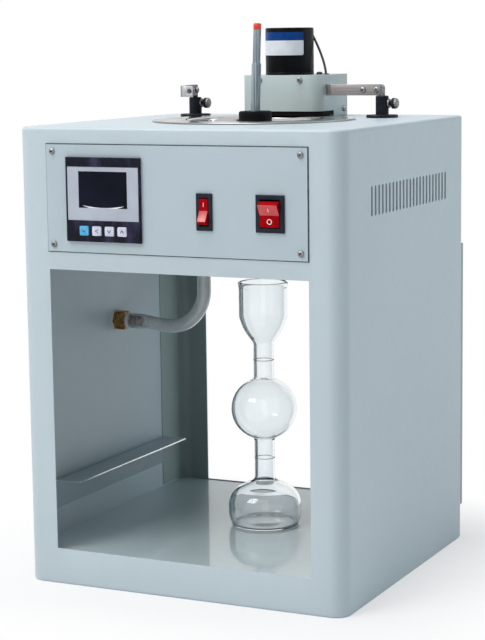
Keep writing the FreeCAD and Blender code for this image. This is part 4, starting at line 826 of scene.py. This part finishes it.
bm = bmesh.new()
line_of(bm, [(*on_can(label_start), z) for z in label_levels])
bmesh.ops.spin(bm, geom=bm.verts[:] + bm.edges[:], cent=(0, motor_y, 0), axis=(0, 0, 1),
               angle=label_end - label_start, steps=32, use_duplicate=False)
for vert in bm.verts:
    turn = math.atan2(vert.co.y - motor_y, vert.co.x)
    drop = label_low + label_corner - vert.co.z
    if abs(turn - label_end) < 0.01 and drop > 0:
        cut = label_corner - math.sqrt(max(0, label_corner ** 2 - drop ** 2))
        vert.co.x, vert.co.y = on_can(turn - cut / label_reach)
for face in bm.faces:
    face.material_index = 1 if face.calc_center_median().z > label_split else 0
label = settle(bm, "motor_label", "motor_head", label_white, label_blue)

# Motor lead and its grommet: a round black two-core lead from the can's side down into the bracket.
# It is drawn as one bend, and a moulded rubber ring lines the hole in the bracket's top.
lead_black = finish("lead_sheath", shade(15, 16, 21), shade(30, 32, 39), 0.45, 600)
lead_curve = bpy.data.curves.new("lead_curve", "CURVE")
lead_curve.dimensions = "3D"
lead_points = [(17.0, 101.2, 481.7), (24.6, 98.4, 469.6), (31.2, 95.1, 457.2), (35.0, 92.3, 447.4),
               (36.0, 91.5, 442.0), (36.1, 91.4, 437.5)]
lead_line = lead_curve.splines.new("NURBS")
lead_line.points.add(len(lead_points) - 1)
for point, place in zip(lead_line.points, lead_points):
    point.co = (*(value / 1000 for value in place), 1)
lead_line.order_u = 3
lead_line.use_endpoint_u = True
lead_curve.bevel_depth = 0.0011
lead_curve.bevel_resolution = 6
lead_curve.resolution_u = 16
lead_curve.use_fill_caps = True
lead_curve.materials.append(lead_black)
lead = place_object("motor_lead_sheath", lead_curve)
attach(lead, "motor_head")
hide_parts("motor_lead")
bm = turn_form([(1.3, 440.7), (2.8, 440.7), (2.8, 441.2), (2.0, 441.2), (2.0, 442.7), (2.8, 442.7),
                (2.8, 443.3), (2.4, 443.7), (1.3, 443.7), (1.3, 440.7)], (36.0, 91.5, 0), 32)
grommet = settle(bm, "lead_grommet_ring", "motor_head", lead_black)

# Dome nut: a small blacked steel nut on the bracket's top beside the motor.
# It closes one of the screws that hold the bracket inside the shroud.
nut_black = finish("nut_black", shade(34, 36, 40), shade(60, 62, 66), 0.3, 600, metallic=0.6)
bm = turn_form([(3.0, 442.7), (3.0, 444.0), (2.6, 444.7), (1.6, 445.2), (0, 445.4)], (29, 92, 0), 24)
dome_nut = settle(bm, "bracket_dome_nut", "motor_head", nut_black)

# Pillars: turned steel posts, chemically blacked, each pressed on a thin base disc on the top panel.
# A bore in the top takes the arm's rod, and the left post is a little shorter than the right one.
pillar_black = finish("pillar_blacking", shade(17, 20, 27), shade(34, 38, 46), 0.4, 200, 3)
feed(shader_of(pillar_black), ("Specular IOR Level", 0.12))
relief(pillar_black, grain(pillar_black, 900, 2, (0.2, 0.2, 1)), 0.00004)
post_x, post_y = 96, 81
for side, pillar_name, top in ((-1, "left_pillar", 422.0), (1, "right_pillar", 423.5)):
    bm = turn_form([(0, 403.5), (14.5, 403.5), (14.5, 405.8), (14.2, 406.2), (6.4, 406.2), (6.0, 406.6),
                    (6.0, top - 0.8), (5.2, top), (2.9, top), (2.56, top - 0.3), (2.56, 407.0), (0, 406.8)],
                   (side * post_x, post_y, 0), 64)
    post = settle(bm, pillar_name + "_post", "cabinet", pillar_black)
    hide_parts(pillar_name)

# Thumb screws: turned steel, blacked, with a straight-knurled head whose domed face is bright nickel.
# A thin bright disc stands on the narrow neck, and the tips bear on the rods through the pillars' sides.
thumb_nickel = finish("thumb_nickel", shade(102, 103, 103), shade(146, 146, 144), 0.42, 1400, metallic=0.8)
wear(thumb_nickel, grain(thumb_nickel, 900, 2), 0.34, 0.5)
clamp_z, knurl_points, knurl_depth = 416.5, 48, 0.94
for side, screw_name, clamp in ((-1, "left_thumb_screw", "left_clamp"), (1, "right_thumb_screw", "right_clamp")):
    bm = turn_form([(0, 2.7), (1.9, 2.7), (1.9, 6.2), (4.0, 6.2), (4.3, 6.5), (4.3, 7.3), (4.0, 7.6),
                    (1.9, 7.6), (1.9, 9.8), (4.4, 9.8), (4.9, 10.3), (4.9, 13.2), (4.6, 14.4), (3.4, 15.4),
                    (1.8, 15.6), (0, 15.6)], (side * post_x, post_y, clamp_z), knurl_points, (1, 0, 0))
    for vert in bm.verts:
        across, above = vert.co.y - post_y, vert.co.z - clamp_z
        if math.hypot(across, above) > 4.85 and round(math.atan2(above, across) / math.tau * knurl_points) % 2:
            vert.co.y = post_y + across * knurl_depth
            vert.co.z = clamp_z + above * knurl_depth
    for face in bm.faces:
        reach = face.calc_center_median().x - side * post_x
        face.material_index = 0 if reach > 13.0 or 6.1 < reach < 7.7 else 1
    knob = settle(bm, screw_name + "_knob", clamp, thumb_nickel, pillar_black, sharp=24)
    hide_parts(screw_name)


# Arms: a tongue with a rod that drops into the pillar, and a bare steel strip screwed to it; the left tongue is
# coloured black as painted shade.
# The strip's far end is bent into a drilled foot; the right arm's foot lies on the shroud's side, screwed to it.
def arm_place(side):
    turn = Matrix.Rotation(math.radians(99.5), 4, "Z") if side < 0 else Matrix.Identity(4)
    return Matrix.Translation((side * post_x, post_y, 0)) @ turn


def arm_tongue(name, side, body, material):
    form = bmesh.new()
    block(form, (-10.75, 0, arm_z), (26.5, 3, 10.2))
    soften(form, [e for e in form.edges if all(v.co.x > 2 and v.co.z > 433 for v in e.verts)], 3.5, 6)
    soften(form, rims_of(form), 0.25, 2)
    bmesh.ops.create_cone(form, cap_ends=True, cap_tris=False, segments=32, radius1=2.5, radius2=2.5, depth=17.2,
                          matrix=Matrix.Translation((0, 0, 415.7)))
    bmesh.ops.transform(form, matrix=arm_place(side), verts=form.verts)
    return settle(form, name, body, material)


def arm_bar(name, side, body, material):
    """The strip; its foot is folded forward on the left arm and back along the shroud on the right one."""
    form = bmesh.new()
    heel_x, foot_y, fold = (-55.5, -15.2, 7.0) if side < 0 else (-54.0, 12.2, 5.5)
    plan = [(-0.8, -1.5), (heel_x, -1.5), (heel_x, foot_y)]
    pull(form, line_of(form, [(x, y, 423.7) for x, y in plan]), (0, 0, 10.2))
    soften(form, [e for e in form.edges if all(abs(v.co.x - heel_x) + abs(v.co.y + 1.5) < 0.1 for v in e.verts)],
           fold, 10)
    foot = [f for f in form.faces if abs(f.calc_center_median().x - heel_x) < 0.01]
    foot_edges = [e for f in foot for e in f.edges]
    bmesh.ops.delete(form, geom=foot, context="FACES_ONLY")
    hole_place = Matrix.Translation((heel_x, foot_hole_y[side], arm_z)) @ along_x
    bmesh.ops.bridge_loops(form, edges=foot_edges + ring_of(form, 2.3, 24, hole_place))
    thicken(form, 1.5, lambda face: face.normal.y * face.calc_area() if abs(face.normal.y) > 0.9 else 0)
    soften(form, rims_of(form), 0.2, 2)
    bmesh.ops.transform(form, matrix=arm_place(side), verts=form.verts)
    return settle(form, name, body, material)


arm_z = 428.8
foot_hole_y = {-1: -11.8, 1: 8.4}
along_x = Matrix.Rotation(math.radians(90), 4, "Y")
# The left tongue is coloured black, a dark copy of the tongue's steel: painted shade.
tongue_painted_shade = finish("tongue_black_painted_shade", shade(24, 27, 33), shade(46, 50, 56), 0.4, 250, 3, 0.4)
relief(tongue_painted_shade, grain(tongue_painted_shade, 1200, 2), 0.00004)
tongue_grey = finish("tongue_steel", shade(112, 112, 115), shade(160, 160, 161), 0.5, 900, 3, 0.6)
rolled_steel_painted_sheen = finish("rolled_strip_painted_sheen", shade(140, 135, 135), shade(158, 153, 153), 0.42, 500, 3, 0.6, (0.06, 0.06, 1))
relief(rolled_steel_painted_sheen, grain(rolled_steel_painted_sheen, 1500, 2, (0.05, 0.05, 1)), 0.00004)
# The right strip turns lighter where it bends away from the eye: painted sheen.
painted_edge_light_and_shade(rolled_steel_painted_sheen, shade(232, 230, 232), 0.5, 1.0, 0.35, 0.75)
# The left strip is a lighter copy of the same steel, painted light, and turns dark where it bends away from the eye:
# painted shade.
strip_painted_light_and_shade = finish("strip_painted_light_and_edge_shade", shade(182, 182, 187), shade(202, 202, 206), 0.4, 500, 3, 0.6, (0.06, 0.06, 1))
painted_edge_light_and_shade(strip_painted_light_and_shade, shade(58, 60, 66), 0.5, 1.0, 0.35, 0.75)
for side, side_name, body, tongue_metal, strip_metal in (
    (-1, "left", "left_arm", tongue_painted_shade, strip_painted_light_and_shade),
    (1, "right", "motor_head", tongue_grey, rolled_steel_painted_sheen),
):
    tongue = arm_tongue(side_name + "_arm_tongue", side, body, tongue_metal)
    bar = arm_bar(side_name + "_arm_bar", side, body, strip_metal)
    bm = bmesh.new()
    for x, spin in ((-4.2, 15), (-17.7, 50)):
        screw_form(bm, (x, -3, arm_z), (0, -1, 0), spin)
    if side > 0:
        screw_form(bm, (-54, foot_hole_y[side], arm_z), (1, 0, 0), 30)
    bmesh.ops.transform(bm, matrix=arm_place(side), verts=bm.verts)
    heads = settle(bm, side_name + "_arm_screw_heads", body, screw_zinc, screw_recess_painted_shade)
    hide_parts(side_name + "_arm_bracket")
    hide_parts(side_name + "_arm_strip")
    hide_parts(side_name + "_arm_screws")

# Stirrer shafts: ground steel rods from the motor down through the ring's hole into the bath.
# They are drawn bar with fine lines along their length, carried over from the frame.
shaft_steel = finish("ground_shaft", shade(180, 181, 183), shade(206, 206, 206), 0.2, 900, 2, 1.0, (1, 1, 0.1))
dress(shaft_steel, "motor_shaft", "stirrer_shaft")


# Drain fitting: turned brass, a hexagon nut against the inner wall, a collar and a ribbed barb for the hose.
# The outside has a matching hexagon and a plain spigot; the brass is a little dull and brown in the grooves.
def hexagon_form(bm, low_x, high_x, across, spin=30):
    """A hexagon bar along X on the drain's axis, across its flats."""
    place = Matrix.Translation((low_x, drain_y, drain_z)) @ along_x @ Matrix.Rotation(math.radians(spin), 4, "Z")
    made = bmesh.ops.create_circle(bm, cap_ends=True, segments=6, radius=across / math.sqrt(3), matrix=place)
    push(bm, list({f for v in made["verts"] for f in v.link_faces}), (high_x - low_x, 0, 0))


drain_y, drain_z = 16, 212.4
brass = finish("turned_brass", shade(112, 80, 40), shade(184, 144, 88), 0.36, 260, 3, 0.9)
wear(brass, grain(brass, 180, 3), 0.28, 0.5)
relief(brass, grain(brass, 1400, 2, (1, 0.1, 0.1)), 0.00005)
bm = bmesh.new()
hexagon_form(bm, wall_x, -139.4, 17, 0)
soften(bm, rims_of(bm, 0.9), 0.4, 2)
nut = settle(bm, "drain_nut_inside", "cabinet", brass)
washer_nylon = finish("washer_nylon", shade(196, 201, 199), shade(216, 219, 217), 0.45, 400)
bm = turn_form([(5.1, 0), (9.9, 0), (10.1, 0.2), (10.1, 0.9), (9.9, 1.1), (5.1, 1.1), (5.1, 0)],
               (wall_x, drain_y, drain_z), 48, (1, 0, 0))
washer = settle(bm, "drain_washer", "cabinet", washer_nylon)
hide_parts("drain_nut")
bm = turn_form([(2.3, 0), (4.2, 0), (4.6, 0.5), (4.6, 18), (4.6, 23), (5.0, 23), (5.0, 32.2), (5.6, 32.2),
                (5.9, 32.6), (5.9, 35.2), (5.6, 35.6), (4.9, 35.6), (5.3, 40.4), (4.6, 40.8), (5.3, 43.8),
                (4.6, 44.3), (5.3, 47.4), (4.6, 47.9), (5.1, 50.2), (3.9, 53.2), (2.3, 53.4), (2.3, 0)],
               (-176, drain_y, drain_z), 48, (1, 0, 0))
hexagon_form(bm, -158, -153, 17)
fitting = settle(bm, "drain_fitting_turned", "cabinet", brass)
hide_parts("drain_fitting")
dress(brass, "drain_nipple")


# Drain hose: soft clear PVC, 13 mm across, milky with age. It is pushed over the barb, dips slightly,
# and turns up in one open bend to the nipple under the bath.
def eased(value, start, length):
    """Rises smoothly from 0 to 1 over a length."""
    share = min(1, max(0, (value - start) / length))
    return share * share * (3 - 2 * share)


hose_clear = finish("hose_pvc", shade(218, 225, 229), shade(234, 238, 240), 0.4, 70, 3)
hose_tree = hose_clear.node_tree
hose_place = add_node(hose_tree, "SeparateXYZ", (0, hose_tree.nodes["place"].outputs["Object"]))
hose_reach = spread(hose_clear, hose_place.outputs["X"], 0, 1, -0.139, -0.099)
clarity = add_node(hose_tree, "ValToRGB", ("Fac", hose_reach))
for stop, clear in ((0.0, 0.3), (0.07, 0.45), (0.13, 0.94), (0.42, 0.9), (0.7, 0.55)):
    clarity.color_ramp.elements.new(stop).color = (clear, clear, clear, 1)
clarity.color_ramp.elements.remove(clarity.color_ramp.elements[0])
clarity.color_ramp.elements[-1].color = (0.5, 0.5, 0.5, 1)
feed(shader_of(hose_clear), ("IOR", 1.4), ("Coat Weight", 0.8), ("Coat Roughness", 0.1),
     ("Transmission Weight", clarity.outputs["Color"]))
wear(hose_clear, grain(hose_clear, 120, 2), 0.12, 0.24)
mouth_x, bend_x, bend_z, hose_top, hose_steps = -138.8, -92.8, 245.3, 297.4, 16
bm = bmesh.new()
lip = ring_of(bm, 6.5, 40, Matrix.Translation((mouth_x, drain_y, drain_z)) @ along_x)
for step in range(hose_steps):
    lip = pull(bm, lip, ((bend_x - mouth_x) / hose_steps, 0, 0))
for vert in bm.verts:
    wide = 1 + 0.13 * eased(-vert.co.x, 114, 14)
    vert.co.y = drain_y + (vert.co.y - drain_y) * wide
    vert.co.z = drain_z + (vert.co.z - drain_z) * wide - 3.1 * eased(vert.co.x, -124, 30)
ends = bmesh.ops.spin(bm, geom=lip, cent=(bend_x, drain_y, bend_z), axis=(0, -1, 0), angle=math.radians(90),
                      steps=24, use_duplicate=False)["geom_last"]
pull(bm, [part for part in ends if isinstance(part, bmesh.types.BMEdge)], (0, 0, hose_top - bend_z))
thicken(bm, 1.75, lambda face: face.normal.y * (face.calc_center_median().y - drain_y))
hose = settle(bm, "drain_hose_pvc", "cabinet", hose_clear, sharp=70)
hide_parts("drain_hose")


# Receiving flask: clear blown borosilicate with two bulbs, a waist between them and a wide cup at the top.
# The wall is 1.4 mm at the middle bulb and about 2 mm elsewhere, and every bend is a smooth blown curve.
def blown_arc(centre, start, end, steps, inset):
    """Points of (radius, height) on an arc round centre, moved in by inset."""
    first = math.atan2(start[1] - centre[1], start[0] - centre[0])
    last = math.atan2(end[1] - centre[1], end[0] - centre[0])
    reach = math.dist(start, centre) - inset
    turns = [first + (last - first) * step / steps for step in range(steps + 1)]
    return [(centre[0] + reach * math.cos(turn), centre[1] + reach * math.sin(turn)) for turn in turns]


def flask_wall(foot, necks, bulb, cup):
    """The outline from the foot's rim to the cup's top, inset by each part's wall for the inner skin."""
    neck = 9.4 - necks
    line = blown_arc((13.424, 12.536), (30.6, 1.4), (33.8, 14.5), 8, foot)
    line += blown_arc((12.632, 17.445), (33.8, 14.5), (25.9, 34.2), 12, foot)[1:]
    line += blown_arc((-42.867, -83.152), (25.9, 34.2), (11.4, 41.5), 6, foot)[1:]
    line += [(neck + 1.0 + necks * 0.3, 42.4 - necks * 0.7), (neck + 0.3 + necks * 0.2, 43.6 - necks * 0.2),
             (neck + necks * 0.1, 45.4), (neck, 48.0), (neck, 60.0), (neck, 78.0),
             (neck + 0.15, 79.9), (neck + 0.7, 81.4)]
    line += blown_arc((1.665, 109.2), (10.94, 82.2), (10.94, 136.2), 28, bulb)
    line += [(neck + 0.7, 137.0), (neck + 0.15, 138.5), (neck, 140.4), (neck, 155.0), (neck, 168.2),
             (neck + 0.15, 169.8), (neck + 0.7, 171.6)]
    line += blown_arc((-25.684, 205.125), (11.41, 173.2), (22.2, 195.0), 10, cup)
    return line + [(22.2 - cup, 210.0), (22.2 - cup, 220.4), (22.2 - cup, 221.4 + cup)]


flask_glass = finish("flask_glass", shade(243, 248, 250), shade(250, 252, 253), 0.0, 20)
feed(shader_of(flask_glass), ("Transmission Weight", 1.0), ("IOR", 1.47))
relief(flask_glass, grain(flask_glass, 45, 1), 0.00006, 0.15)
flask_x, flask_y = 8.0, 7
foot_rim = [(0, 0), (29.0, 0), (29.7, 0.12), (30.25, 0.45), (30.5, 0.9)]
cup_bead = [(22.4, 222.0), (22.75, 222.9), (22.85, 224.4), (22.8, 225.9), (22.4, 226.6), (21.6, 226.85),
            (20.7, 226.6), (20.1, 225.9)]
inner_foot = [(27.6, 2.1), (26.0, 1.7), (14.0, 1.6), (0, 1.7)]
outside, inside = flask_wall(0, 0, 0, 0), flask_wall(2.3, 1.9, 1.4, 2.2)[::-1]
bm = turn_form(foot_rim + outside + cup_bead + inside + inner_foot, (flask_x, flask_y, 30.25), 128)
flask = settle(bm, "flask_blown", "flask", flask_glass, sharp=80)
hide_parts("receiving_flask")

# Gauge rings: two thin rings round the flask's necks, a faded reddish brown, with no figures.
# They are painted on the glass and fired, and stand about a tenth of a millimetre proud.
ring_ink = finish("gauge_ring", shade(158, 118, 126), shade(196, 164, 168), 0.5, 700)
bm = bmesh.new()
for height in (93.4, 185.0):
    join_form(bm, turn_form([(9.45, height - 0.3), (9.52, height), (9.45, height + 0.3), (9.45, height - 0.3)],
                            (flask_x, flask_y, 0), 64))
gauge = settle(bm, "gauge_rings", "flask", ring_ink)

# Mains inlet: a moulded black appliance inlet on the back with three flat pins, carried over from the frame.
# It is pushed into the rear frame from outside; the pins are bright metal.
dress(nylon_black, "mains_inlet")
dress(shaft_steel, "inlet_pins")
